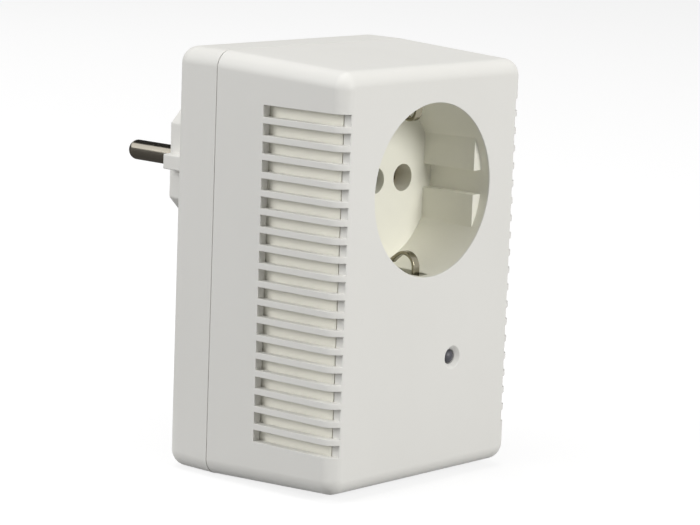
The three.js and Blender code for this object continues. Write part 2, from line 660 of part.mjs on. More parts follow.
// ---------------------------------------------------------------- mains plug
function plugBody() {
  const shaft = slabY(plugOutline(0), FLANGE_Y, PLUG_FACE_Y);
  const flange = slabY(plugOutline(PLUG_FLANGE_LIP), FLANGE_Y, FLANGE_Y + PLUG_FLANGE_T);
  const ribs = box(-PLUG_RIB_X, PLUG_RIB_X, FLANGE_Y, PLUG_FACE_Y - PLUG_RIB_SETBACK,
    SOCKET_Z - PLUG_RIB_H / 2, SOCKET_Z + PLUG_RIB_H / 2);
  const grooveR = EARTH_CONTACT_R - EARTH_T - RUN_GAP;
  const hollowR = grooveR - GROOVE_FLOOR_T;
  const hollow = slabY(plugOutline(-PLUG_WALL), FLANGE_Y - PAST, PLUG_FACE_Y - PLUG_FACE_T)
    .intersect(box(-SPAN_X, SPAN_X, 0, TOTAL_DEPTH, SOCKET_Z - hollowR, SOCKET_Z + hollowR));
  const tools = [hollow];
  const grooveX = EARTH_W / 2 + RUN_GAP;
  for (const [, end] of ENDS) {
    const z = [end * grooveR, end * SPAN_X].sort((a, b) => a - b);
    tools.push(box(-grooveX, grooveX, FLANGE_Y - PAST, PLUG_FACE_Y + PAST, SOCKET_Z + z[0], SOCKET_Z + z[1]));
  }
  for (const [, side] of SIDES) {
    const x = side * PIN_X;
    tools.push(rod(x, SOCKET_Z, PIN_R + PIN_FIT_GAP, FLANGE_Y, PLUG_FACE_Y + PAST, ROUND));
    tools.push(rod(x, SOCKET_Z, PIN_COLLAR_R + RUN_GAP, FLANGE_Y - PAST, PLUG_FACE_Y - PLUG_FACE_T, ROUND));
  }
  return named('plug_body', cut(union(shaft, flange, ribs), ...tools), HOUSING);
}

function plugPin(name, side) {
  const collarY = PLUG_FACE_Y - PLUG_FACE_T - SEAT_GAP;
  const profile = [
    [0, BOARD_Y],
    [PIN_SHANK_R, BOARD_Y],
    [PIN_SHANK_R, collarY - PIN_COLLAR_T],
    [PIN_COLLAR_R, collarY - PIN_COLLAR_T],
    [PIN_COLLAR_R, collarY],
    [PIN_R, collarY],
  ];
  for (let i = 0; i <= TIP_SEGMENTS; i += 1) {
    const angle = (i / TIP_SEGMENTS) * Math.PI / 2;
    const radius = PIN_R - PIN_TIP_R + PIN_TIP_R * Math.cos(angle);
    profile.push([radius, TOTAL_DEPTH - PIN_TIP_R + PIN_TIP_R * Math.sin(angle)]);
  }
  profile.push([0, TOTAL_DEPTH]);
  return named(name, turned(side * PIN_X, SOCKET_Z, profile, ROUND), NICKEL);
}

function plugEarthBracket() {
  const tipY = PLUG_FACE_Y - EARTH_TIP_SETBACK;
  const halfW = EARTH_W / 2;
  const base = box(-halfW, halfW, EARTH_BASE_Y, EARTH_BASE_Y + EARTH_T,
    SOCKET_Z - EARTH_CONTACT_R, SOCKET_Z + EARTH_CONTACT_R);
  const arms = ENDS.map(([, end]) => {
    const z = [end * EARTH_CONTACT_R, end * (EARTH_CONTACT_R - EARTH_T)].sort((a, b) => a - b);
    return box(-halfW, halfW, EARTH_BASE_Y, tipY, SOCKET_Z + z[0], SOCKET_Z + z[1]);
  });
  return named('plug_earth_bracket', union(base, ...arms), NICKEL);
}

// ---------------------------------------------------------------- electronics
const FRONT_SIDE = BOARD_Y - SEAT_GAP;
const REAR_SIDE = BOARD_BACK_Y + SEAT_GAP;
const REAR_ROOM = BACK_INNER_Y - REAR_SIDE;

// Height on the board: share 0 is the lowest row of components, share 1 the socket's underside.
function rowZ(share) {
  return THREE.MathUtils.lerp(LOW_ROW_Z, SOCKET_Z - WELL_OUT_R, share);
}

function mainBoard() {
  const { width, height, midZ } = outerSize(BOARD_Y);
  const margin = 2 * (WALL + BOARD_MARGIN);
  const outline = roundedRect(width - margin, height - margin, midZ, BOARD_CORNER_R);
  const board = slabY(outline, BOARD_Y, BOARD_BACK_Y);
  const y0 = BOARD_Y - PAST;
  const y1 = BOARD_BACK_Y + PAST;
  const tools = [rod(0, SOCKET_Z, POST_R + 2 * RUN_GAP, y0, y1, ROUND)];
  for (const [x, z] of screwPlaces()) {
    tools.push(rod(x, z, SCREW_R + RUN_GAP, y0, y1, COARSE));
  }
  for (const [, side] of SIDES) {
    const x = side * PIN_X;
    const halfSlot = TAB_W / 2 + RUN_GAP;
    tools.push(rod(x, SOCKET_Z, PIN_SHANK_R + RUN_GAP, y0, y1, COARSE));
    tools.push(box(x - halfSlot, x + halfSlot, y0, y1,
      SOCKET_Z - TAIL_DROP - RUN_GAP, SOCKET_Z - TAIL_DROP + TAB_T + RUN_GAP));
  }
  return named('main_board', cut(board, ...tools), BOARD);
}

// Depths of something that stands tall on the board: side is -1 for the board's front.
function standing(side, tall) {
  return side < 0 ? [FRONT_SIDE - tall, FRONT_SIDE] : [REAR_SIDE, REAR_SIDE + tall];
}

function onBoard(side, x, z, width, height, tall) {
  const [y0, y1] = standing(side, tall);
  return box(x - width / 2, x + width / 2, y0, y1, z - height / 2, z + height / 2);
}

function canOnBoard(side, x, z, radius, tall, segments = COARSE) {
  const [y0, y1] = standing(side, tall);
  return rod(x, z, radius, y0, y1, segments);
}

function electrolytic(name, side, x, z, radius, tall) {
  const can = canOnBoard(side, x, z, radius, tall);
  const y0 = side < 0 ? FRONT_SIDE - CAN_GROOVE_UP - CAN_GROOVE_W : REAR_SIDE + CAN_GROOVE_UP;
  const y1 = y0 + CAN_GROOVE_W;
  const ring = cut(
    rod(x, z, radius + PAST, y0, y1, COARSE),
    rod(x, z, radius - CAN_GROOVE_DEPTH, y0 - PAST, y1 + PAST, COARSE),
  );
  return named(name, can.subtract(ring), CAN);
}

function lightGuide() {
  const y1 = FRONT_SIDE - LED_H - RUN_GAP;
  const profile = [[0, GUIDE_SINK]];
  for (let i = 1; i <= DOME_SEGMENTS; i += 1) {
    const angle = (i / DOME_SEGMENTS) * Math.PI / 2;
    profile.push([GUIDE_R * Math.sin(angle), GUIDE_SINK + GUIDE_DOME_RISE * (1 - Math.cos(angle))]);
  }
  const flangeY = FACE_T + RUN_GAP;
  const flangeEnd = flangeY + GUIDE_FLANGE_T;
  profile.push([GUIDE_R, flangeY], [GUIDE_FLANGE_R, flangeY], [GUIDE_FLANGE_R, flangeEnd]);
  profile.push([GUIDE_R, flangeEnd], [GUIDE_R, y1], [0, y1]);
  return named('light_guide', turned(LED_X, LED_Z, profile, ROUND), SMOKED);
}

function statusLed() {
  const dome = rod(LED_X, LED_Z, LED_R, FRONT_SIDE - LED_H, FRONT_SIDE - LED_BASE_H / 2, COARSE);
  const base = canOnBoard(-1, LED_X, LED_Z, LED_BASE_R, LED_BASE_H);
  return named('status_led', union(dome, base), CLEAR);
}

function networkJack() {
  const body = box(-JACK_W / 2, JACK_W / 2, JACK_FRONT_Y, JACK_BACK_Y, JACK_Z, JACK_Z + JACK_LEN);
  const portY = (JACK_FRONT_Y + JACK_BACK_Y) / 2 - JACK_PORT_SHIFT;
  const portBack = portY + JACK_PORT_D / 2;
  const port = box(-JACK_PORT_W / 2, JACK_PORT_W / 2, portY - JACK_PORT_D / 2, portBack,
    JACK_Z - PAST, JACK_Z + JACK_PORT_LEN);
  const key = box(-JACK_KEY_W / 2, JACK_KEY_W / 2, portBack - PAST, portBack + JACK_KEY_D,
    JACK_Z - PAST, JACK_Z + JACK_PORT_LEN - JACK_KEY_SHORT);
  return named('network_jack', cut(body, port, key), BLACK);
}

function modemChip() {
  return named('modem_chip', onBoard(1, MODEM_X, rowZ(MODEM_ROW), MODEM_SIZE, MODEM_SIZE, MODEM_T), BLACK);
}

function modemHeatsink() {
  const base = onBoard(1, 0, 0, HEATSINK_SIZE, HEATSINK_SIZE, HEATSINK_BASE_T);
  const tall = REAR_ROOM - MODEM_T - SEAT_GAP - BACK_CLEAR;
  const fins = Array.from({ length: FIN_COUNT }, (_, i) => {
    const x = (i - (FIN_COUNT - 1) / 2) * FIN_PITCH;
    return onBoard(1, x, 0, FIN_T, HEATSINK_SIZE, tall);
  });
  const placed = union(base, ...fins).translate([MODEM_X, MODEM_T + SEAT_GAP, rowZ(MODEM_ROW)]);
  return named('modem_heatsink', placed, ALUMINIUM);
}

function filterChoke() {
  const ring = canOnBoard(-1, CHOKE_X, CHOKE_Z, CHOKE_R, CHOKE_H, ROUND);
  const bore = rod(CHOKE_X, CHOKE_Z, CHOKE_BORE_R, FRONT_SIDE - CHOKE_H - PAST, BOARD_Y, ROUND);
  return named('filter_choke', ring.subtract(bore), FERRITE);
}

function switchingTransformer() {
  const z = rowZ(TRANSFORMER_ROW);
  const core = onBoard(-1, TRANSFORMER_X, z, CORE_W, CORE_H, CORE_TALL);
  const bobbin = onBoard(-1, TRANSFORMER_X, z, BOBBIN_W, BOBBIN_H, BOBBIN_TALL);
  return named('switching_transformer', union(core, bobbin), YELLOW);
}

// Box-shaped components: name, board side, x, z, width, height, how tall they stand, material.
const BLOCKS = [
  ['interference_capacitor', -1, -17.5, 17.5, 13.0, 8.0, 15.0, YELLOW],
  ['mains_fuse', 1, -20.5, 50.0, 8.0, 4.0, 0.6 * REAR_ROOM, BLACK],
  ['bridge_rectifier', 1, 22.0, rowZ(0.82), 8.0, 6.4, 0.3 * REAR_ROOM, BLACK],
  ['coupling_transformer', 1, 2.5, rowZ(0.56), 11.0, 9.0, 0.6 * REAR_ROOM, YELLOW],
  ['memory_chip', 1, -16.0, LOW_ROW_Z, 10.0, 7.0, 1.1, BLACK],
  ['clock_crystal', 1, -6.0, 14.0, 4.6, 11.0, 0.45 * REAR_ROOM, STEEL],
  ['network_transformer', 1, 4.0, LOW_ROW_Z, 9.0, 12.0, 0.7 * REAR_ROOM, BLACK],
  ['power_controller', 1, 14.0, rowZ(0.43), 7.0, 9.0, 0.45 * REAR_ROOM, BLACK],
];

// Electrolytic capacitors: name, board side, x, z, radius, how tall they stand.
const CANS = [
  ['mains_capacitor_left', -1, -5.0, rowZ(0.69), 4.0, 18.0],
  ['mains_capacitor_right', -1, 19.5, rowZ(0.81), 5.0, 18.0],
  ['output_capacitor', 1, 15.0, 14.0, 4.0, REAR_ROOM - BACK_CLEAR],
];

function electronics() {
  const blocks = BLOCKS.map(([name, side, x, z, width, height, tall, material]) => (
    named(name, onBoard(side, x, z, width, height, tall), material)));
  const cans = CANS.map((can) => electrolytic(...can));
  const varistor = canOnBoard(1, VARISTOR_X, VARISTOR_Z, VARISTOR_R, 0.55 * REAR_ROOM);
  return [
    mainBoard(),
    networkJack(),
    lightGuide(),
    statusLed(),
    switchingTransformer(),
    filterChoke(),
    modemChip(),
    modemHeatsink(),
    named('surge_varistor', varistor, BLUE),
    ...blocks,
    ...cans,
  ];
}

function housingScrews() {
  const driveY = SCREW_SEAT_Y + SCREW_HEAD_T - CROSS_DEPTH;
  const driveEnd = SCREW_SEAT_Y + SCREW_HEAD_T + PAST;
  return screwPlaces().map(([x, z], index) => {
    const head = rod(x, z, SCREW_HEAD_R, SCREW_SEAT_Y, SCREW_SEAT_Y + SCREW_HEAD_T, COARSE);
    const shaft = rod(x, z, SCREW_R, SCREW_END_Y, SCREW_SEAT_Y + SCREW_HEAD_T / 4, COARSE);
    const bars = [
      box(x - CROSS_R, x + CROSS_R, driveY, driveEnd, z - CROSS_W / 2, z + CROSS_W / 2),
      box(x - CROSS_W / 2, x + CROSS_W / 2, driveY, driveEnd, z - CROSS_R, z + CROSS_R),
    ];
    return named(`housing_screw_${index + 1}`, cut(union(head, shaft), ...bars), STEEL);
  });
}

// ---------------------------------------------------------------- assembly
function assemble() {
  const adapter = new THREE.Group();
  adapter.add(frontHousing(), rearHousing(), socketWell());
  for (const [word, side] of SIDES) {
    adapter.add(ventBaffle(`vent_baffle_${word}`, side));
    adapter.add(socketContact(`socket_contact_${word}`, side));
    adapter.add(plugPin(`plug_pin_${word}`, side));
  }
  for (const [word, end] of ENDS) {
    adapter.add(earthClip(`socket_earth_clip_${word}`, end));
  }
  adapter.add(earthStrap(), centreScrew(), earthPost(), plugBody(), plugEarthBracket());
  adapter.add(...electronics(), ...housingScrews());
  adapter.position.y = -TOTAL_DEPTH / 2;
  return adapter;
}

const root = new THREE.Group();
root.add(assemble());
root.updateMatrixWorld(true);

export default root;
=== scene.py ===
"""Looks of a mains powerline adapter with an earthed pass-through socket.

Meshes are built in millimetres in the adapter's own frame: X to the right seen
from the front, Y measured back from the front face, Z up from the surface it
stands on. Each finished mesh is moved to the shared frame, in metres, with its
object left at the origin.
"""

import logging
import math
from collections.abc import Iterable, Sequence
from dataclasses import dataclass, field
from enum import Enum, IntEnum

import bmesh
import bpy
from mathutils import Matrix, Vector


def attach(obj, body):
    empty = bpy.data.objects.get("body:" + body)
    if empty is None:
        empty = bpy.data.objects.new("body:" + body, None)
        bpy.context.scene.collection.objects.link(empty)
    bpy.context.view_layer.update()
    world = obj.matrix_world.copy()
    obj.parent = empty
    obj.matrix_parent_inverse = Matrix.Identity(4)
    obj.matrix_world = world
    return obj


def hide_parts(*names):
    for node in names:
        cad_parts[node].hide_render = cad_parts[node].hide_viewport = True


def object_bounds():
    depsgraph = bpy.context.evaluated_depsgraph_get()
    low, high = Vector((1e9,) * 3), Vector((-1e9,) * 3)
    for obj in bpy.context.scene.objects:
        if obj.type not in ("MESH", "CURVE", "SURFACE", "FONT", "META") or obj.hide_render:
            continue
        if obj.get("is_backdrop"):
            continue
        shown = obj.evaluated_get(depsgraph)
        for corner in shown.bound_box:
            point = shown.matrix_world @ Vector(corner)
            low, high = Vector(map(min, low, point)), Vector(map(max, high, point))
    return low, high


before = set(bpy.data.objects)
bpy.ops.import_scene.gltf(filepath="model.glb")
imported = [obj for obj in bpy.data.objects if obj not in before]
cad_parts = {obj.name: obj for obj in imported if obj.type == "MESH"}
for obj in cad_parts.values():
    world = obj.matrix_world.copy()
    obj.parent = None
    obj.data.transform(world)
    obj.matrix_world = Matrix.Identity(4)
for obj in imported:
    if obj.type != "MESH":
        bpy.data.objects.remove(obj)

LOG = logging.getLogger("adapter")
MM = 0.001
ADAPTER = "adapter"
OVER = 1.0  # how far a cutting tool runs past the surface that it opens
FAR = 40.0  # half length of a tool that runs past the piece on both sides
BEHIND = 90.0  # depth that lies behind the whole adapter
NEAR = 0.05  # half width of a band round edges that stay sharp
CLEAR = 0.1  # gap between faces that would else lie in one plane
LEAST_EDGE_ANGLE = math.radians(32.0)  # faces that meet at less than this have no edge to round
PLASTIC_IOR = 1.49
DUST_COLOUR = (0.62, 0.60, 0.56)
DUST_SCALE = 160.0  # patches of dust in a metre
MARK_STRETCH = (1.0, 0.06, 1.0)  # draw marks run along Y
TRACK_SCALE = 260.0  # copper fields in a metre of board
TRACK_GAP = 0.07  # share of a field that lies bare round its edge

Point = tuple[float, float]  # two coordinates, or a low and a high value
Band = tuple[int, float, float]  # an axis by its number, with a low and a high value on it
Loop = list[Vector]  # the points round one section of a solid


# ------------------------------------------------------------------ finishes
class Kind(Enum):
    """Families of surface, each with its own way of varying."""

    PLASTIC = "plastic"
    METAL = "metal"
    LENS = "lens"
    BOARD = "board"


@dataclass(frozen=True)
class Finish:
    """One surface finish.

    Colours are sRGB, sizes are in millimetres.
    """

    name: str
    slot: str
    kind: Kind
    colour: tuple[float, float, float]
    roughness: float
    grain_size: float = 0.5
    grain_depth: float = 0.006
    drift: float = 0.03
    dust: float = 0.04
    coat: float = 0.0
    transmission: float = 0.0


HOUSING = Finish(
    "housing_plastic", "housing", Kind.PLASTIC, (0.914, 0.910, 0.893), 0.52,
    grain_depth=0.010,
)
INSERT = Finish(
    "insert_plastic", "socket_insert", Kind.PLASTIC, (0.925, 0.920, 0.874), 0.42,
    grain_depth=0.004,
)
NICKEL = Finish(
    "bright_nickel", "nickel", Kind.METAL, (0.76, 0.735, 0.68), 0.16,
    grain_size=0.35, grain_depth=0.0008,
)
BRASS = Finish(
    "plain_brass", "brass", Kind.METAL, (0.70, 0.60, 0.38), 0.34,
    grain_size=0.3, grain_depth=0.001,
)
# Darker, olive copy of the nickel with painted shade: the clips sit deep in the well, and this colour
# stands for its shade and dark reflections.
SHADED_CLIP_NICKEL = Finish(
    "spring_nickel_painted_shade", "nickel", Kind.METAL, (0.56, 0.54, 0.47), 0.22,
    grain_size=0.35, grain_depth=0.001,
)
STEEL = Finish(
    "zinc_steel", "steel", Kind.METAL, (0.46, 0.465, 0.47), 0.24,
    grain_size=0.3, grain_depth=0.001,
)
# Lighter, creamier copy of the housing plastic with painted light: it stands for light bouncing inside
# the vent slots onto the baffles behind them.
BOUNCE_LIT_BAFFLE = Finish(
    "baffle_plastic_painted_bounce", "housing", Kind.PLASTIC, (0.955, 0.948, 0.905), 0.50,
    grain_depth=0.006,
)
SMOKED = Finish(
    "smoked_lens", "smoked_lens", Kind.LENS, (0.32, 0.32, 0.35), 0.42,
    dust=0.0, transmission=0.35,
)
RESIN = Finish(
    "clear_resin", "led_body", Kind.LENS, (0.82, 0.86, 0.88), 0.12,
    dust=0.0, transmission=0.7,
)
BOARD = Finish("green_board", "circuit_board", Kind.BOARD, (0.16, 0.46, 0.28), 0.36, coat=0.3)
BLACK = Finish(
    "black_plastic", "black_plastic", Kind.PLASTIC, (0.13, 0.13, 0.14), 0.48,
    grain_depth=0.006,
)
SINK = Finish(
    "plain_aluminium", "heatsink", Kind.METAL, (0.80, 0.81, 0.83), 0.36,
    grain_size=0.4, grain_depth=0.002,
)
TAPE = Finish(
    "yellow_film", "yellow_tape", Kind.PLASTIC, (0.88, 0.76, 0.28), 0.34,
    drift=0.06, coat=0.2,
)
BLUE = Finish("blue_epoxy", "blue_coating", Kind.PLASTIC, (0.18, 0.34, 0.68), 0.30, coat=0.4)
SLEEVE = Finish(
    "dark_sleeve", "capacitor_sleeve", Kind.PLASTIC, (0.15, 0.20, 0.34), 0.32,
    coat=0.3,
)
FERRITE = Finish(
    "coated_ferrite", "ferrite", Kind.PLASTIC, (0.20, 0.19, 0.18), 0.55,
    grain_depth=0.012,
)


def linear(colour: Sequence[float]) -> tuple[float, float, float, float]:
    """Turns an sRGB colour from 0 to 1 into the linear one, with alpha, that shaders use."""
    parts = [c / 12.92 if c <= 0.04045 else ((c + 0.055) / 1.055) ** 2.4 for c in colour]
    return (parts[0], parts[1], parts[2], 1.0)


class Graph:
    """Small helper that adds nodes to a tree and links them."""

    def __init__(self, tree: bpy.types.NodeTree) -> None:
        """Wraps a node tree."""
        self.tree = tree

    def add(self, kind: str, **settings: object) -> bpy.types.Node:
        """Adds a node.

        Args:
            kind: The node's type name.
            settings: Properties to set on it.

        Returns:
            The new node.
        """
        node = self.tree.nodes.new(kind)
        for name, value in settings.items():
            setattr(node, name, value)
        return node

    def link(self, source: bpy.types.NodeSocket, target: bpy.types.NodeSocket) -> None:
        """Links an output socket to an input socket."""
        self.tree.links.new(source, target)

    def maths(self, operation: str, *values: object) -> bpy.types.NodeSocket:
        """Adds a maths node.

        Args:
            operation: The node's operation, such as MULTIPLY.
            values: Numbers or output sockets, one for each input.

        Returns:
            The node's output socket.
        """
        node = self.add("ShaderNodeMath", operation=operation)
        for socket, value in zip(node.inputs, values):
            self.feed(socket, value)
        return node.outputs[0]

    def noise(self, vector: bpy.types.NodeSocket, scale: object, detail: float) -> bpy.types.Node:
        """Adds a noise texture.

        Args:
            vector: Where it is read.
            scale: A number or an output socket.
            detail: How many finer layers it has.

        Returns:
            The texture node.
        """
        node = self.add("ShaderNodeTexNoise", noise_dimensions="3D")
        node.inputs["Detail"].default_value = detail
        self.link(vector, node.inputs["Vector"])
        self.feed(node.inputs["Scale"], scale)
        return node

    def feed(self, socket: bpy.types.NodeSocket, value: object) -> None:
        """Gives an input socket its value.

        Args:
            socket: The input socket.
            value: An output socket to link, or a plain value to set.
        """
        if isinstance(value, bpy.types.NodeSocket):
            self.link(value, socket)
        else:
            socket.default_value = value


def blank_material(name: str) -> tuple[bpy.types.Material, Graph]:
    """Makes a material without any nodes.

    Args:
        name: The material's name.

    Returns:
        The material and its graph helper.
    """
    material = bpy.data.materials.new(name)
    material.use_nodes = True
    material.node_tree.nodes.clear()
    return material, Graph(material.node_tree)


def new_group(kind: str, name: str, inputs: Sequence[tuple], outputs: Sequence[tuple]) -> tuple:
    """Makes an empty node group with named sockets.

    Args:
        kind: ShaderNodeTree or GeometryNodeTree.
        name: The group's name.
        inputs: Name, socket type and default (or None) of each input.
        outputs: Name and socket type of each output.

    Returns:
        The tree, its graph helper, the input node and the output node.
    """
    tree = bpy.data.node_groups.new(name, kind)
    for label, socket_type, default in inputs:
        socket = tree.interface.new_socket(label, in_out="INPUT", socket_type=socket_type)
        if default is not None:
            socket.default_value = default
    for label, socket_type in outputs:
        tree.interface.new_socket(label, in_out="OUTPUT", socket_type=socket_type)
    graph = Graph(tree)
    return tree, graph, graph.add("NodeGroupInput"), graph.add("NodeGroupOutput")


class ShaderKit:
    """Shader groups that the finishes share: grain, tone drift, settled dust and draw marks."""

    def __init__(self) -> None:
        """Builds each group once."""
        self.grain = self._grain()
        self.drift = self._drift()
        self.dust = self._dust()
        self.marks = self._marks()

    def _grain(self) -> bpy.types.NodeTree:
        """Fine moulded grain: a height made of a fine noise over a coarser one.

        Returns:
            The group.
        """
        tree, g, start, end = new_group(
            "ShaderNodeTree", "moulded_grain",
            [("Vector", "NodeSocketVector", None), ("Scale", "NodeSocketFloat", 2000.0)],
            [("Height", "NodeSocketFloat")],
        )
        put = start.outputs
        fine = g.noise(put["Vector"], put["Scale"], 3.0)
        fine.inputs["Roughness"].default_value = 0.6
        coarse = g.add("ShaderNodeTexVoronoi", feature="SMOOTH_F1")
        coarse.inputs["Smoothness"].default_value = 0.8
        g.link(put["Vector"], coarse.inputs["Vector"])
        g.link(g.maths("MULTIPLY", put["Scale"], 0.55), coarse.inputs["Scale"])
        mix = g.maths("MULTIPLY_ADD", coarse.outputs["Distance"], 0.45, fine.outputs["Fac"])
        g.link(mix, end.inputs["Height"])
        return tree

    def _drift(self) -> bpy.types.NodeTree:
        """Slow change of tone over a moulding, as resin and light leave it.

        Returns:
            The group.
        """
        tree, g, start, end = new_group(
            "ShaderNodeTree", "tone_drift",
            [("Vector", "NodeSocketVector", None), ("Color", "NodeSocketColor", None),
             ("Amount", "NodeSocketFloat", 0.03), ("Scale", "NodeSocketFloat", 28.0)],
            [("Color", "NodeSocketColor")],
        )
        put = start.outputs
        noise = g.noise(put["Vector"], put["Scale"], 4.0)
        centred = g.maths("SUBTRACT", noise.outputs["Fac"], 0.5)
        swing = g.maths("MULTIPLY", centred, put["Amount"])
        tone = g.add("ShaderNodeHueSaturation")
        g.link(g.maths("ADD", g.maths("MULTIPLY", swing, 2.0), 1.0), tone.inputs["Value"])
        g.link(g.maths("SUBTRACT", 1.0, g.maths("MULTIPLY", swing, 6.0)), tone.inputs["Saturation"])
        g.link(put["Color"], tone.inputs["Color"])
        g.link(tone.outputs["Color"], end.inputs["Color"])
        return tree

    def _dust(self) -> bpy.types.NodeTree:
        """Thin dust that settles on surfaces facing up, in soft patches.

        Returns:
            The group.
        """
        tree, g, start, end = new_group(
            "ShaderNodeTree", "settled_dust",
            [("Vector", "NodeSocketVector", None), ("Color", "NodeSocketColor", None),
             ("Roughness", "NodeSocketFloat", 0.5), ("Amount", "NodeSocketFloat", 0.05)],
            [("Color", "NodeSocketColor"), ("Roughness", "NodeSocketFloat")],
        )
        put = start.outputs
        facing = g.add("ShaderNodeSeparateXYZ")
        g.link(g.add("ShaderNodeNewGeometry").outputs["Normal"], facing.inputs[0])
        upward = g.maths("MAXIMUM", facing.outputs["Z"], 0.0)
        noise = g.noise(put["Vector"], DUST_SCALE, 6.0)
        patch = g.maths("MULTIPLY", upward, noise.outputs["Fac"])
        mask = g.maths("MULTIPLY", patch, put["Amount"])
        mix = g.add("ShaderNodeMix", data_type="RGBA")
        g.link(mask, mix.inputs["Factor"])
        g.link(put["Color"], mix.inputs[6])
        mix.inputs[7].default_value = linear(DUST_COLOUR)
        g.link(mix.outputs[2], end.inputs["Color"])
        rough = g.maths("MULTIPLY_ADD", mask, 0.6, put["Roughness"])
        g.link(rough, end.inputs["Roughness"])
        return tree

    def _marks(self) -> bpy.types.NodeTree:
        """Fine draw marks along a metal part: streaks of roughness and height.

        Returns:
            The group.
        """
        tree, g, start, end = new_group(
            "ShaderNodeTree", "draw_marks",
            [("Vector", "NodeSocketVector", None), ("Scale", "NodeSocketFloat", 2500.0),
             ("Roughness", "NodeSocketFloat", 0.2), ("Amount", "NodeSocketFloat", 0.12)],
            [("Roughness", "NodeSocketFloat"), ("Height", "NodeSocketFloat")],
        )
        put = start.outputs
        stretch = g.add("ShaderNodeVectorMath", operation="MULTIPLY")
        stretch.inputs[1].default_value = MARK_STRETCH
        g.link(put["Vector"], stretch.inputs[0])
        noise = g.noise(stretch.outputs["Vector"], put["Scale"], 5.0)
        centred = g.maths("SUBTRACT", noise.outputs["Fac"], 0.5)
        swing = g.maths("MULTIPLY", centred, put["Amount"])
        g.link(g.maths("ADD", swing, put["Roughness"]), end.inputs["Roughness"])
        g.link(noise.outputs["Fac"], end.inputs["Height"])
        return tree


class Paintshop:
    """Makes a material for each finish, once."""

    def __init__(self) -> None:
        """Prepares the shared shader groups."""
        self.kit = ShaderKit()
        self.made: dict[str, bpy.types.Material] = {}

    def material(self, finish: Finish) -> bpy.types.Material:
        """Gives the material of a finish, made at the first call."""
        if finish.name not in self.made:
            self.made[finish.name] = self._build(finish)
        return self.made[finish.name]

    def _group(self, g: Graph, tree: bpy.types.NodeTree, **values: object) -> bpy.types.Node:
        """Places a shader group in a material.

        Args:
            g: The material's graph helper.
            tree: The group.
            values: What each of its inputs gets, by name.

        Returns:
            The group's node.
        """
        node = g.add("ShaderNodeGroup", node_tree=tree)
        for name, value in values.items():
            g.feed(node.inputs[name], value)
        return node

    def _build(self, finish: Finish) -> bpy.types.Material:
        """Builds one material's nodes.

        Args:
            finish: What the material shows.

        Returns:
            The material.
        """
        material, g = blank_material(finish.name)
        shader = g.add("ShaderNodeBsdfPrincipled")
        g.link(shader.outputs["BSDF"], g.add("ShaderNodeOutputMaterial").inputs["Surface"])
        here = g.add("ShaderNodeTexCoord").outputs["Object"]
        scale = 1.0 / (finish.grain_size * MM)
        base: object = linear(finish.colour)
        if finish.kind is Kind.BOARD:
            base = self._tracks(g, here, finish)
        drift = self._group(g, self.kit.drift, Vector=here, Color=base, Amount=finish.drift)
        colour = drift.outputs["Color"]
        rough: object = finish.roughness
        metal = finish.kind is Kind.METAL
        if metal:
            marks = self._group(g, self.kit.marks, Vector=here, Scale=scale, Roughness=rough)
            rough = marks.outputs["Roughness"]
            height = marks.outputs["Height"]
        else:
            height = self._group(g, self.kit.grain, Vector=here, Scale=scale).outputs["Height"]
        if finish.dust > 0:
            dust = self._group(
                g, self.kit.dust, Vector=here, Color=colour, Roughness=rough, Amount=finish.dust,
            )
            colour = dust.outputs["Color"]
            rough = dust.outputs["Roughness"]
        g.link(colour, shader.inputs["Base Color"])
        g.feed(shader.inputs["Roughness"], rough)
        bump = g.add("ShaderNodeBump")
        bump.inputs["Strength"].default_value = 1.0
        bump.inputs["Distance"].default_value = finish.grain_depth * MM
        g.link(height, bump.inputs["Height"])
        g.link(bump.outputs["Normal"], shader.inputs["Normal"])
        shader.inputs["Metallic"].default_value = 1.0 if metal else 0.0
        shader.inputs["IOR"].default_value = PLASTIC_IOR
        shader.inputs["Coat Weight"].default_value = finish.coat
        shader.inputs["Transmission Weight"].default_value = finish.transmission
        return material

    def _tracks(self, g: Graph, here: bpy.types.NodeSocket, finish: Finish) -> bpy.types.NodeSocket:
        """Copper tracks that show through the board's green mask.

        Args:
            g: The material's graph helper.
            here: The place on the board.
            finish: The board's finish.

        Returns:
            The board's colour.
        """
        cells = g.add("ShaderNodeTexVoronoi", feature="DISTANCE_TO_EDGE", distance="EUCLIDEAN")
        cells.inputs["Scale"].default_value = TRACK_SCALE
        cells.inputs["Randomness"].default_value = 0.35
        g.link(here, cells.inputs["Vector"])
        gap = g.maths("LESS_THAN", cells.outputs["Distance"], TRACK_GAP)
        mix = g.add("ShaderNodeMix", data_type="RGBA")
        g.link(gap, mix.inputs["Factor"])
        mix.inputs[6].default_value = linear(tuple(c * 1.25 for c in finish.colour))
        mix.inputs[7].default_value = linear(finish.colour)
        return mix.outputs[2]


# ------------------------------------------------------------------ mesh tools
class Facets(IntEnum):
    """Facets round a turned shape, by the kind of shape."""

    WELL = 160
    COLLAR = 128
    PIN = 72
    BORE = 64
    GUIDE = 56
    HEAD = 48
    SCREW = 40
    BOSS = 32
    BORE_SMALL = 24


def to_object(name: str, bm: bmesh.types.BMesh) -> bpy.types.Object:
    """Turns a bmesh into an object in the scene, with its faces pointing out.

    Args:
        name: The object's name.
        bm: The finished bmesh, which is freed.

    Returns:
        The new object.
    """
    bmesh.ops.recalc_face_normals(bm, faces=bm.faces)
    mesh = bpy.data.meshes.new(name)
    bm.to_mesh(mesh)
    bm.free()
    made = bpy.data.objects.new(name, mesh)
    bpy.context.scene.collection.objects.link(made)
    return made


def loft(name: str, loops: Sequence[Loop]) -> bpy.types.Object:
    """Closed solid through loops of equal point counts, capped at both ends.

    Args:
        name: The object's name.
        loops: Loops of points, in order along the solid.

    Returns:
        The solid.
    """
    bm = bmesh.new()
    rows = [[bm.verts.new(p) for p in loop] for loop in loops]
    for near, far in zip(rows, rows[1:]):
        for i in range(len(near)):
            j = (i + 1) % len(near)
            bm.faces.new((near[i], near[j], far[j], far[i]))
    bm.faces.new(rows[0][::-1])
    bm.faces.new(rows[-1])
    return to_object(name, bm)


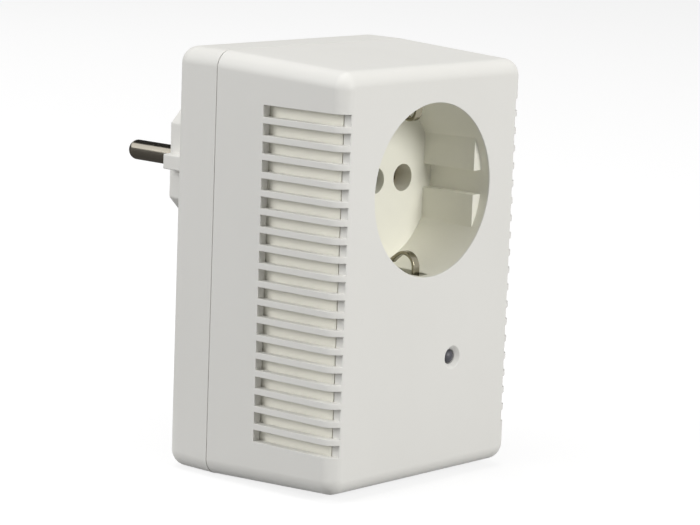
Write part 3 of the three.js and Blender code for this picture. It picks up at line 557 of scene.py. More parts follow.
def block(name: str, x: Point, y: Point, z: Point) -> bpy.types.Object:
    """Box between two values on each axis."""
    outline = [(x[0], z[0]), (x[1], z[0]), (x[1], z[1]), (x[0], z[1])]
    return loft(name, [at_depth(outline, depth) for depth in y])


def lathe(
    name: str, x: float, z: float, profile: Sequence[Point], segments: int = Facets.BORE,
) -> bpy.types.Object:
    """Solid turned about a line along Y.

    Args:
        name: The object's name.
        x: The axis's place across the adapter.
        z: The axis's height.
        profile: Radius and depth of each point, of which the first and last lie on the axis.
        segments: Facets round the axis.

    Returns:
        The solid.
    """
    bm = bmesh.new()
    turns = [2 * math.pi * i / segments for i in range(segments)]
    rings = []
    for radius, y in profile:
        places = [(x + radius * math.cos(a), y, z + radius * math.sin(a)) for a in turns]
        if radius <= 0:
            places = [(x, y, z)]
        rings.append([bm.verts.new(place) for place in places])
    for near, far in zip(rings, rings[1:]):
        for i in range(segments):
            j = (i + 1) % segments
            corners = [near[i % len(near)], near[j % len(near)], far[j % len(far)], far[i % len(far)]]
            corners = list(dict.fromkeys(corners))
            if len(corners) > 2:
                bm.faces.new(corners)
    return to_object(name, bm)


def rod(
    name: str, x: float, z: float, radius: float, y: Point, segments: int = Facets.BORE,
    end_radius: float | None = None,
) -> bpy.types.Object:
    """Cylinder or cone along Y between two depths."""
    end = radius if end_radius is None else end_radius
    return lathe(name, x, z, [(0, y[0]), (radius, y[0]), (end, y[1]), (0, y[1])], segments)


def arc(centre: Point, radius: float, start: float, end: float, steps: int) -> list[Point]:
    """Points on an arc, with angles in degrees."""
    angles = [math.radians(start + (end - start) * i / steps) for i in range(steps + 1)]
    return [(centre[0] + radius * math.cos(a), centre[1] + radius * math.sin(a)) for a in angles]


def quarter_turn(steps: int) -> list[float]:
    """Angles of a quarter turn, both ends included."""
    return [math.radians(90 * i / steps) for i in range(steps + 1)]


def rounded_rect(
    half_w: float, half_h: float, mid_z: float, radius: float, steps: int = 12,
) -> list[Point]:
    """Outline of a rounded rectangle in X and Z.

    Args:
        half_w: Half its width.
        half_h: Half its height.
        mid_z: Height of its middle.
        radius: Radius of its corners.
        steps: Facets round each corner.

    Returns:
        Its points, anticlockwise from the lower left.
    """
    x = half_w - radius
    z = half_h - radius
    corners = [(-x, mid_z - z, 180), (x, mid_z - z, 270), (x, mid_z + z, 0), (-x, mid_z + z, 90)]
    outline: list[Point] = []
    for cx, cz, start in corners:
        outline += arc((cx, cz), radius, start, start + 90, steps)
    return outline


def at_depth(outline: Iterable[Point], y: float) -> Loop:
    """Lifts an outline in X and Z to a loop at one depth."""
    return [Vector((x, y, z)) for x, z in outline]


def bake(piece: bpy.types.Object) -> bpy.types.Object:
    """Applies a piece's modifiers to its mesh and removes them.

    Args:
        piece: The mesh object.

    Returns:
        The same object.
    """
    graph = bpy.context.evaluated_depsgraph_get()
    mesh = bpy.data.meshes.new_from_object(piece.evaluated_get(graph), depsgraph=graph)
    piece.modifiers.clear()
    old = piece.data
    piece.data = mesh
    bpy.data.meshes.remove(old)
    return piece


def combine(
    piece: bpy.types.Object, operation: str, tools: Sequence[bpy.types.Object],
) -> bpy.types.Object:
    """Cuts tools from a piece or joins them to it, one by one, and deletes the tools.

    Args:
        piece: The solid that is changed.
        operation: DIFFERENCE, UNION or INTERSECT.
        tools: The solids to use.

    Returns:
        The changed piece.
    """
    for tool in tools:
        step = piece.modifiers.new("work", "BOOLEAN")
        step.operation = operation
        step.solver = "EXACT"
        step.object = tool
        weld(bake(piece))
        bpy.data.objects.remove(tool)
    return piece


def weld(piece: bpy.types.Object, reach: float = 0.003) -> bpy.types.Object:
    """Merges points that a cut leaves doubled, so that the piece stays closed.

    Args:
        piece: The piece to close.
        reach: Largest distance between points that are merged.

    Returns:
        The piece.
    """
    bm = bmesh.new()
    bm.from_mesh(piece.data)
    bmesh.ops.remove_doubles(bm, verts=bm.verts, dist=reach)
    bmesh.ops.dissolve_degenerate(bm, edges=bm.edges, dist=reach)
    bm.to_mesh(piece.data)
    bm.free()
    return piece


def soften(
    piece: bpy.types.Object, width: float, segments: int = 2, keep_sharp: Sequence[Band] = (),
) -> bpy.types.Object:
    """Rounds a piece's outward edges and gives it smooth shading with flat faces kept flat.

    Args:
        piece: The piece to soften.
        width: Width of the rounding.
        segments: Facets across the rounding.
        keep_sharp: Bands in which an edge stays sharp if it lies inside one.

    Returns:
        The piece.
    """
    weld(piece)
    bm = bmesh.new()
    bm.from_mesh(piece.data)
    weight = bm.edges.layers.float.new("bevel_weight_edge")
    for edge in bm.edges:
        if len(edge.link_faces) != 2 or not edge.is_convex:
            continue
        kept = any(
            all(low <= v.co[axis] <= high for v in edge.verts) for axis, low, high in keep_sharp
        )
        if edge.calc_face_angle() > LEAST_EDGE_ANGLE and not kept:
            edge[weight] = 1.0
    bm.to_mesh(piece.data)
    bm.free()
    bevel = piece.modifiers.new("edges", "BEVEL")
    bevel.limit_method = "WEIGHT"
    bevel.width = width
    bevel.segments = segments
    bevel.use_clamp_overlap = False
    bake(piece)
    return smooth(piece)


def smooth(piece: bpy.types.Object, angle: float = 40.0) -> bpy.types.Object:
    """Shades a piece smooth, weighted so that large faces stay flat.

    Args:
        piece: The piece to shade.
        angle: Angle between faces, in degrees, past which an edge stays hard.

    Returns:
        The piece.
    """
    mesh = piece.data
    mesh.polygons.foreach_set("use_smooth", [True] * len(mesh.polygons))
    mesh.set_sharp_from_angle(angle=math.radians(angle))
    weigh = piece.modifiers.new("shading", "WEIGHTED_NORMAL")
    weigh.keep_sharp = True
    return bake(piece)


def carrier(name: str, points: Sequence[Sequence[float]], joined: bool = False) -> bpy.types.Object:
    """Mesh of bare points for a geometry tree to work on.

    Args:
        name: The object's name.
        points: Places of its points.
        joined: Whether an edge joins each point to the next.

    Returns:
        The new object.
    """
    edges = [(i, i + 1) for i in range(len(points) - 1)] if joined else []
    mesh = bpy.data.meshes.new(name)
    mesh.from_pydata(points, edges, [])
    made = bpy.data.objects.new(name, mesh)
    bpy.context.scene.collection.objects.link(made)
    return made


# ------------------------------------------------------------------ geometry nodes
class NodeKit:
    """Geometry trees for what repeats or follows a path."""

    def __init__(self) -> None:
        """Builds each tree once."""
        self.vents = self._vents()
        self.row = self._row()
        self.scatter = self._scatter()
        self.strip = self._strip()

    @staticmethod
    def run(piece: bpy.types.Object, tree: bpy.types.NodeTree, **values: object) -> bpy.types.Object:
        """Runs a tree on a piece and bakes the result.

        Args:
            piece: The object that carries the tree.
            tree: The geometry tree.
            values: Inputs by name, with an underscore for each space.

        Returns:
            The baked mesh object.
        """
        step = piece.modifiers.new(tree.name, "NODES")
        step.node_group = tree
        sockets = {s.name: s.identifier for s in tree.interface.items_tree if s.in_out == "INPUT"}
        for name, value in values.items():
            step[sockets[name.replace("_", " ")]] = value
        piece.update_tag()
        return bake(piece)

    @staticmethod
    def _close(
        g: Graph, start: bpy.types.Node, end: bpy.types.Node, geometry: bpy.types.NodeSocket,
    ) -> None:
        """Ends a tree in Realize Instances and Set Material.

        Args:
            g: The tree's graph helper.
            start: Its input node.
            end: Its output node.
            geometry: The geometry to finish.
        """
        real = g.add("GeometryNodeRealizeInstances")
        paint = g.add("GeometryNodeSetMaterial")
        g.link(geometry, real.inputs[0])
        g.link(real.outputs[0], paint.inputs["Geometry"])
        g.link(start.outputs["Material"], paint.inputs["Material"])
        g.link(paint.outputs[0], end.inputs[0])

    def _vents(self) -> bpy.types.NodeTree:
        """Rows of slots cut through both slanting sides of a shell.

        Returns:
            The tree.
        """
        number = "NodeSocketFloat"
        tree, g, start, end = new_group(
            "GeometryNodeTree", "vent_rows",
            [("Geometry", "NodeSocketGeometry", None), ("Rows", "NodeSocketInt", 19),
             ("Pitch", number, 4.0), ("First Height", number, 10.0), ("Slot Height", number, 3.0),
             ("Slot Depth", number, 2.4), ("Rear End", number, 22.0), ("Reach", number, 4.0),
             ("Half Width", number, 30.0), ("Draft", number, 0.05),
             ("Material", "NodeSocketMaterial", None)],
            [("Geometry", "NodeSocketGeometry")],
        )
        put = start.outputs

        def vector(x: object, y: object, z: object) -> bpy.types.NodeSocket:
            """Combines three values into a vector.

            Args:
                x: A number or an output socket.
                y: The same for Y.
                z: The same for Z.

            Returns:
                The vector's socket.
            """
            node = g.add("ShaderNodeCombineXYZ")
            for socket, value in zip(node.inputs, (x, y, z)):
                g.feed(socket, value)
            return node.outputs[0]

        cube = g.add("GeometryNodeMeshCube")
        size = vector(
            g.maths("ADD", put["Slot Depth"], put["Reach"]),
            g.maths("ADD", put["Rear End"], put["Reach"]),
            put["Slot Height"],
        )
        g.link(size, cube.inputs["Size"])
        inset = g.add("GeometryNodeTransform")
        g.link(cube.outputs["Mesh"], inset.inputs["Geometry"])
        middle = vector(
            g.maths("MULTIPLY", g.maths("SUBTRACT", put["Reach"], put["Slot Depth"]), 0.5),
            g.maths("MULTIPLY", g.maths("SUBTRACT", put["Rear End"], put["Reach"]), 0.5),
            g.maths("MULTIPLY", put["Slot Height"], 0.5),
        )
        g.link(middle, inset.inputs["Translation"])
        lean = g.add("GeometryNodeTransform")
        g.link(inset.outputs["Geometry"], lean.inputs["Geometry"])
        g.link(vector(0.0, 0.0, g.maths("MULTIPLY", put["Draft"], -1.0)), lean.inputs["Rotation"])
        g.link(vector(put["Half Width"], 0.0, 0.0), lean.inputs["Translation"])
        other = g.add("GeometryNodeTransform")
        other.inputs["Scale"].default_value = (-1.0, 1.0, 1.0)
        g.link(lean.outputs["Geometry"], other.inputs["Geometry"])
        flip = g.add("GeometryNodeFlipFaces")
        g.link(other.outputs["Geometry"], flip.inputs[0])
        pair = g.add("GeometryNodeJoinGeometry")
        g.link(lean.outputs["Geometry"], pair.inputs[0])
        g.link(flip.outputs[0], pair.inputs[0])
        line = g.add("GeometryNodeMeshLine", mode="OFFSET")
        g.link(put["Rows"], line.inputs["Count"])
        g.link(vector(0.0, 0.0, put["First Height"]), line.inputs["Start Location"])
        g.link(vector(0.0, 0.0, put["Pitch"]), line.inputs["Offset"])
        spread = g.add("GeometryNodeInstanceOnPoints")
        g.link(line.outputs["Mesh"], spread.inputs["Points"])
        g.link(pair.outputs[0], spread.inputs["Instance"])
        tools = g.add("GeometryNodeRealizeInstances")
        g.link(spread.outputs["Instances"], tools.inputs[0])
        cut = g.add("GeometryNodeMeshBoolean", operation="DIFFERENCE", solver="EXACT")
        g.link(put["Geometry"], cut.inputs["Mesh 1"])
        g.link(tools.outputs[0], cut.inputs["Mesh 2"])
        self._close(g, start, end, cut.outputs["Mesh"])
        return tree

    def _row(self) -> bpy.types.NodeTree:
        """Copies of one piece in a straight row.

        Returns:
            The tree.
        """
        tree, g, start, end = new_group(
            "GeometryNodeTree", "even_row",
            [("Geometry", "NodeSocketGeometry", None), ("Count", "NodeSocketInt", 4),
             ("First", "NodeSocketVector", None), ("Step", "NodeSocketVector", None),
             ("Material", "NodeSocketMaterial", None)],
            [("Geometry", "NodeSocketGeometry")],
        )
        line = g.add("GeometryNodeMeshLine", mode="OFFSET")
        g.link(start.outputs["Count"], line.inputs["Count"])
        g.link(start.outputs["First"], line.inputs["Start Location"])
        g.link(start.outputs["Step"], line.inputs["Offset"])
        spread = g.add("GeometryNodeInstanceOnPoints")
        g.link(line.outputs["Mesh"], spread.inputs["Points"])
        g.link(start.outputs["Geometry"], spread.inputs["Instance"])
        self._close(g, start, end, spread.outputs["Instances"])
        return tree

    def _scatter(self) -> bpy.types.NodeTree:
        """One fastener on each point of a mesh, each turned by its own angle about Y.

        Returns:
            The tree.
        """
        tree, g, start, end = new_group(
            "GeometryNodeTree", "fasteners_on_points",
            [("Geometry", "NodeSocketGeometry", None), ("Fastener", "NodeSocketObject", None),
             ("Seed", "NodeSocketInt", 3), ("Material", "NodeSocketMaterial", None)],
            [("Geometry", "NodeSocketGeometry")],
        )
        info = g.add("GeometryNodeObjectInfo")
        g.link(start.outputs["Fastener"], info.inputs["Object"])
        turn = g.add("FunctionNodeRandomValue", data_type="FLOAT_VECTOR")
        turn.inputs["Min"].default_value = (0.0, 0.0, 0.0)
        turn.inputs["Max"].default_value = (0.0, math.pi, 0.0)
        g.link(start.outputs["Seed"], turn.inputs["Seed"])
        spread = g.add("GeometryNodeInstanceOnPoints")
        g.link(start.outputs["Geometry"], spread.inputs["Points"])
        g.link(info.outputs["Geometry"], spread.inputs["Instance"])
        g.link(turn.outputs["Value"], spread.inputs["Rotation"])
        self._close(g, start, end, spread.outputs["Instances"])
        return tree

    def _strip(self) -> bpy.types.NodeTree:
        """Flat strip with rounded edges that follows a curve.

        Returns:
            The tree.
        """
        tree, g, start, end = new_group(
            "GeometryNodeTree", "bent_strip",
            [("Geometry", "NodeSocketGeometry", None), ("Width", "NodeSocketFloat", 2.0),
             ("Thickness", "NodeSocketFloat", 0.8), ("Edge Radius", "NodeSocketFloat", 0.3),
             ("Steps", "NodeSocketInt", 90), ("Material", "NodeSocketMaterial", None)],
            [("Geometry", "NodeSocketGeometry")],
        )
        put = start.outputs
        line = g.add("GeometryNodeMeshToCurve")
        g.link(put["Geometry"], line.inputs["Mesh"])
        even = g.add("GeometryNodeResampleCurve")
        g.link(line.outputs["Curve"], even.inputs["Curve"])
        g.link(put["Steps"], even.inputs["Count"])
        path = g.add("GeometryNodeSetCurveNormal", mode="FREE")
        g.link(even.outputs["Curve"], path.inputs["Curve"])
        path.inputs["Normal"].default_value = (1.0, 0.0, 0.0)
        section = g.add("GeometryNodeCurvePrimitiveQuadrilateral")
        g.link(put["Width"], section.inputs["Width"])
        g.link(put["Thickness"], section.inputs["Height"])
        edge = g.add("GeometryNodeFilletCurve", mode="POLY")
        edge.inputs["Count"].default_value = 5
        g.link(section.outputs["Curve"], edge.inputs["Curve"])
        g.link(put["Edge Radius"], edge.inputs["Radius"])
        sweep = g.add("GeometryNodeCurveToMesh")
        sweep.inputs["Fill Caps"].default_value = True
        g.link(path.outputs["Curve"], sweep.inputs["Curve"])
        g.link(edge.outputs["Curve"], sweep.inputs["Profile Curve"])
        self._close(g, start, end, sweep.outputs["Mesh"])
        return tree


# ------------------------------------------------------------------ shared sizes
@dataclass(frozen=True)
class Layout:
    """Sizes that more than one sub-assembly needs, in millimetres."""

    total_depth: float = 87.6
    front_w: float = 61.4
    front_h: float = 94.3
    front_lift: float = 1.4
    seam_w: float = 65.2
    seam_h: float = 97.4
    seam_y: float = 37.0
    seam_gap: float = 0.2
    back_y: float = 50.4
    corner_r: float = 3.9
    front_edge_r: float = 3.4
    rear_edge_r: float = 3.8
    face_t: float = 2.2
    wall: float = 2.2
    back_t: float = 2.4
    socket_z: float = 67.8
    well_r: float = 19.75
    well_out_r: float = 21.35
    pin_x: float = 9.5
    board_y: float = 38.7
    board_t: float = 1.6
    screw_x: float = 23.5
    screw_z: tuple[float, float] = (8.4, 89.0)
    screw_bore_r: float = 1.7
    light: Point = (9.1, 28.4)
    jack_w: float = 16.0
    jack_y: Point = (25.2, 38.6)
    plug_r: float = 18.5
    plug_flat_x: float = 15.6
    plug_facet: float = 24.5
    rib_x: float = 18.8
    rib_h: float = 3.6
    gap: float = 0.3

    def screw_places(self) -> list[Point]:
        """Places of the four housing screws across and up the adapter."""
        return [(side * self.screw_x, z) for z in self.screw_z for side in (-1, 1)]

    def front_outline(self, inset: float, y: float) -> list[Point]:
        """Outline of the widening front shell.

        Args:
            inset: Distance inside the outer surface.
            y: Depth of the outline.

        Returns:
            Its points across and up.
        """
        share = y / self.seam_y
        grow_x = 1 + share * (self.seam_w / self.front_w - 1)
        grow_z = 1 + share * (self.seam_h / self.front_h - 1)
        front_mid = self.front_lift + self.front_h / 2
        mid = front_mid + share * (self.seam_h / 2 - front_mid)
        radius = max(self.corner_r - inset, 0.4)
        base = rounded_rect(self.front_w / 2 - inset, self.front_h / 2 - inset, 0.0, radius)
        return [(x * grow_x, mid + z * grow_z) for x, z in base]

    def rear_outline(self, inset: float) -> list[Point]:
        """Outline of the straight rear shell.

        Args:
            inset: Distance inside the outer surface.

        Returns:
            Its points across and up.
        """
        half_h = self.seam_h / 2
        radius = max(self.corner_r - inset, 0.1)
        return rounded_rect(self.seam_w / 2 - inset, half_h - inset, half_h, radius)

    def plug_outline(self, grow: float) -> list[Point]:
        """Outline of the plug: flats at the sides, slanting facets and arcs above and below.

        Args:
            grow: Distance outside the plug's own surface.

        Returns:
            Its points across and up.
        """
        radius = self.plug_r + grow
        flat = self.plug_flat_x + grow
        facet = self.plug_facet + grow * math.sqrt(2)
        cross_x = (facet - math.sqrt(2 * radius * radius - facet * facet)) / 2
        start = math.degrees(math.atan2(facet - cross_x, cross_x))
        centre = (0.0, self.socket_z)
        low = self.socket_z - (facet - flat)
        high = self.socket_z + (facet - flat)
        outline = [(flat, low), (flat, high)]
        outline += arc(centre, radius, start, 180 - start, 24)
        outline += [(-flat, high), (-flat, low)]
        outline += arc(centre, radius, 180 + start, 360 - start, 24)
        return outline


@dataclass
class Assembly:
    """A sub-assembly that builds its meshes and dresses them."""

    paint: Paintshop
    nodes: NodeKit
    layout: Layout

    def show(
        self, piece: bpy.types.Object, name: str, finish: Finish, body: str, *stands_for: str,
    ) -> None:
        """Moves a finished mesh to the shared frame, dresses it and hands it to the frame.

        Args:
            piece: The mesh object, in millimetres.
            name: The piece's name.
            finish: Its finish.
            body: The CAD body that it rides on.
            stands_for: The CAD nodes that it stands for, if any.
        """
        shift = Matrix.Translation((0.0, -self.layout.total_depth / 2, 0.0))
        piece.data.transform(Matrix.Scale(MM, 4) @ shift)
        piece.name = name
        piece.data.name = name
        piece.data.materials.clear()
        piece.data.materials.append(self.paint.material(finish))
        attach(piece, body)
        if stands_for:
            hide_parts(*stands_for)
        LOG.info("%s: %d faces, %s, on %s", name, len(piece.data.polygons), finish.name, body)


# ------------------------------------------------------------------ housing
@dataclass
class Housing(Assembly):
    """The two shells, their side vents and their screws."""

    lip_in: float = 1.0
    lip_len: float = 2.0
    groove_depth: float = 0.5
    vent_rows: int = 19
    vent_pitch: float = 4.08
    vent_h: float = 2.65
    vent_first_z: float = 10.5
    vent_rear_y: float = 23.1
    vent_cut: float = 2.45
    vent_reach: float = 4.0
    recess_r: float = 2.65
    recess_depth: float = 1.0
    guide_bore_r: float = 1.72
    flange_bore_r: float = 2.9
    collar_t: float = 1.2
    collar_end: float = 6.0
    strap_gap_w: float = 8.0
    mouth_lip: float = 0.35
    mouth_step: float = 0.36
    window_top: float = 4.6
    boss_r: float = 3.1
    pillar_r: float = 4.3
    head_r: float = 2.8
    head_t: float = 2.2
    sink: float = 6.0
    shank_r: float = 1.4
    shank_end_y: float = 33.7
    thread_pitch: float = 1.1
    thread_depth: float = 0.3
    plain_len: float = 4.0
    dome_share: float = 0.55
    dome_inset: float = 0.45
    front_soft: float = 0.16
    rear_soft: float = 0.2
    cross_r: float = 1.6
    cross_w: float = 0.7
    cross_depth: float = 1.1

    def build(self) -> None:
        """Builds both shells and the screws."""
        self._front()
        self._rear()
        self._screws()

    def _front_solid(
        self, name: str, inset: float, y: Point, rounded: bool = False,
    ) -> bpy.types.Object:
        """Tapered block that follows the front shell.

        Args:
            name: The object's name.
            inset: Distance inside the outer surface.
            y: Depths of its two ends.
            rounded: Whether its front edge is rounded, as the outer surface is.

        Returns:
            The solid.
        """
        lay = self.layout
        stations: list[Point] = [(inset, y[0])]
        if rounded:
            r = lay.front_edge_r
            stations = [(r * (1 - math.sin(a)), r * (1 - math.cos(a))) for a in quarter_turn(10)]
        stations.append((inset, y[1]))
        return loft(name, [at_depth(lay.front_outline(d, v), v) for d, v in stations])

    def _window(self) -> bpy.types.Object:
        """Tool that opens the underside for the network jack.

        Returns:
            The tool.
        """
        lay = self.layout
        half = lay.jack_w / 2 + lay.gap
        depths = (lay.jack_y[0] - lay.gap, lay.jack_y[1] + lay.gap)
        return block("tool", (-half, half), depths, (-OVER, self.window_top))

    def _front(self) -> None:
        """Front shell: tapered body, socket mouth, light recess, collars, bosses and vents."""
        lay = self.layout
        shell = self._front_solid("front", 0.0, (0.0, lay.seam_y - lay.seam_gap / 2), rounded=True)
        behind = lay.seam_y + OVER
        combine(shell, "DIFFERENCE", [
            self._front_solid("tool", lay.wall, (lay.face_t, behind)),
            self._front_solid("tool", self.lip_in, (lay.seam_y - self.lip_len - lay.gap, behind)),
        ])
        combine(shell, "UNION", self._collars())
        combine(shell, "DIFFERENCE", self._openings())
        draft = math.atan((lay.seam_w - lay.front_w) / 2 / lay.seam_y)
        self.nodes.run(
            shell, self.nodes.vents, Rows=self.vent_rows, Pitch=self.vent_pitch,
            First_Height=self.vent_first_z, Slot_Height=self.vent_h, Slot_Depth=self.vent_cut,
            Rear_End=self.vent_rear_y, Reach=self.vent_reach, Half_Width=lay.front_w / 2, Draft=draft,
            Material=self.paint.material(HOUSING),
        )
        mouth = (1, self.mouth_lip - NEAR, self.mouth_lip + NEAR)
        seam = (1, lay.seam_y - lay.seam_gap, lay.seam_y)
        soften(shell, self.front_soft, keep_sharp=(mouth, seam))
        self.show(shell, "front_shell", HOUSING, ADAPTER, "front_housing")

    def _collars(self) -> list[bpy.types.Object]:
        """Collars of the socket and the light behind the face, and the screw bosses.

        Returns:
            The solids to add to the shell.
        """
        lay = self.layout
        z = lay.socket_z
        root = lay.face_t - OVER
        ring_r = lay.well_out_r + lay.gap
        ring_out_r = ring_r + self.collar_t
        past = self.collar_end + OVER
        half = self.strap_gap_w / 2
        collar = rod("collar", 0, z, ring_out_r, (root, self.collar_end), Facets.COLLAR)
        combine(collar, "DIFFERENCE", [
            rod("tool", 0, z, ring_r, (lay.face_t - 2 * OVER, past), Facets.COLLAR),
            block("tool", (-half, half), (lay.face_t - OVER / 2, past), (z - FAR, z + FAR)),
        ])
        sleeve_r = self.flange_bore_r + self.collar_t
        sleeve = rod("sleeve", *lay.light, sleeve_r, (root, self.collar_end), Facets.HEAD)
        ends = (root, lay.board_y - CLEAR)
        bosses = [rod("boss", x, up, self.boss_r, ends, Facets.BOSS) for x, up in lay.screw_places()]
        return [collar, sleeve, *bosses]

    def _openings(self) -> list[bpy.types.Object]:
        """Tools for the socket's mouth, the light, the jack's window and the screw bores.

        Returns:
            The tools to cut from the shell.
        """
        lay = self.layout
        inside = lay.face_t + OVER
        step_r = lay.well_r + self.mouth_step
        mouth = lathe("mouth", 0, lay.socket_z, [
            (0, -OVER), (lay.well_r, -OVER), (lay.well_r, self.mouth_lip),
            (step_r, self.mouth_lip), (step_r, inside), (0, inside),
        ], Facets.WELL)
        slope = (self.recess_r - self.guide_bore_r) / self.recess_depth
        past = self.collar_end + OVER
        light = lathe("light", *lay.light, [
            (0, -OVER), (self.recess_r + OVER * slope, -OVER), (self.recess_r, 0.0),
            (self.guide_bore_r, self.recess_depth), (self.guide_bore_r, lay.face_t),
            (self.flange_bore_r, lay.face_t), (self.flange_bore_r, past), (0, past),
        ])
        deep = (self.shank_end_y - 2.0, lay.board_y + OVER)
        bores = [
            rod("bore", x, up, lay.screw_bore_r, deep, Facets.BORE_SMALL)
            for x, up in lay.screw_places()
        ]
        return [mouth, light, self._window(), *bores]

    def _rear(self) -> None:
        """Rear shell: rounded back, tongue in the front shell, plug opening and screw pillars."""
        lay = self.layout
        half_gap = lay.seam_gap / 2
        r = lay.rear_edge_r
        stations = [(0.0, lay.seam_y + half_gap)]
        for turn in quarter_turn(10):
            stations.append((r * (1 - math.cos(turn)), lay.back_y - r + r * math.sin(turn)))
        shell = loft("rear", [at_depth(lay.rear_outline(d), y) for d, y in stations])
        lap = (lay.seam_y - self.lip_len, lay.seam_y + half_gap + OVER)
        backing = (lay.seam_y - half_gap + 0.02, lay.seam_y + half_gap + CLEAR)
        combine(shell, "UNION", [
            self._front_solid("tongue", self.lip_in + lay.gap, lap),
            self._front_solid("backing", self.groove_depth, backing),
        ])
        inner = lay.back_y - lay.back_t
        straight = [at_depth(lay.rear_outline(lay.wall), y) for y in (lay.seam_y - 0.15, inner)]
        combine(shell, "DIFFERENCE", [
            self._front_solid("tool", lay.wall, (lay.seam_y - 2 * self.lip_len, lay.seam_y)),
            loft("tool", straight),
        ])
        length = (lay.board_y + lay.board_t + CLEAR, inner + OVER)
        combine(shell, "UNION", [
            rod("pillar", x, z, self.pillar_r, length, Facets.SCREW) for x, z in lay.screw_places()
        ])
        combine(shell, "DIFFERENCE", self._rear_openings(inner))
        seam = (1, lay.seam_y - lay.seam_gap, lay.seam_y + lay.seam_gap)
        soften(shell, self.rear_soft, keep_sharp=(seam,))
        self.show(shell, "rear_shell", HOUSING, ADAPTER, "rear_housing")

    def _rear_openings(self, inner: float) -> list[bpy.types.Object]:
        """Tools for the jack's window, the plug and the four screw wells.

        Args:
            inner: Depth of the back wall's inner side.

        Returns:
            The tools to cut from the rear shell.
        """
        lay = self.layout
        half_w = lay.rib_x + lay.gap
        half_h = lay.rib_h / 2 + lay.gap
        past = lay.back_y + OVER
        through = (inner - OVER, past)
        tools = [
            self._window(),
            loft("tool", [at_depth(lay.plug_outline(lay.gap), y) for y in through]),
            block("tool", (-half_w, half_w), through, (lay.socket_z - half_h, lay.socket_z + half_h)),
        ]
        bore_r = lay.screw_bore_r
        well_r = self.head_r + lay.gap
        seat = lay.back_y - self.sink
        for x, z in lay.screw_places():
            tools.append(lathe("tool", x, z, [
                (0, lay.board_y), (bore_r, lay.board_y), (bore_r, seat),
                (well_r, seat), (well_r, past), (0, past),
            ], Facets.HEAD))
        return tools

    def _screws(self) -> None:
        """One cross-headed screw, set on each of the four screw places."""
        lay = self.layout
        seat = lay.back_y - self.sink + CLEAR
        top = seat + self.head_t
        core = self.shank_r - self.thread_depth
        y = self.shank_end_y
        profile = [(0, y), (core * 0.5, y)]
        while y < seat - self.plain_len:
            profile.append((core, y + 0.25))
            profile.append((self.shank_r, y + self.thread_pitch / 2))
            profile.append((core, y + self.thread_pitch))
            y += self.thread_pitch
        rim = seat + self.head_t * (1 - self.dome_share)
        rise = self.head_t * self.dome_share
        profile += [(self.shank_r, y + 0.6), (self.shank_r, seat)]
        profile += [(self.head_r, seat), (self.head_r, rim)]
        for turn in quarter_turn(6)[1:]:
            radius = self.head_r * (1 - self.dome_inset * (1 - math.cos(turn)))
            profile.append((radius, rim + rise * math.sin(turn)))
        profile.append((0, top))
        screw = lathe("screw", 0, 0, profile, Facets.SCREW)
        deep = (top - self.cross_depth, top + OVER)
        long = (-self.cross_r, self.cross_r)
        thin = (-self.cross_w / 2, self.cross_w / 2)
        combine(screw, "DIFFERENCE", [block("tool", long, deep, thin), block("tool", thin, deep, long)])
        smooth(screw, 50)
        screws = carrier("screws", [(x, 0, z) for x, z in lay.screw_places()])
        self.nodes.run(
            screws, self.nodes.scatter, Fastener=screw, Seed=5, Material=self.paint.material(STEEL),
        )
        bpy.data.objects.remove(screw)
        names = [f"housing_screw_{i}" for i in range(1, 5)]
        self.show(screws, "case_screws", STEEL, ADAPTER, *names)


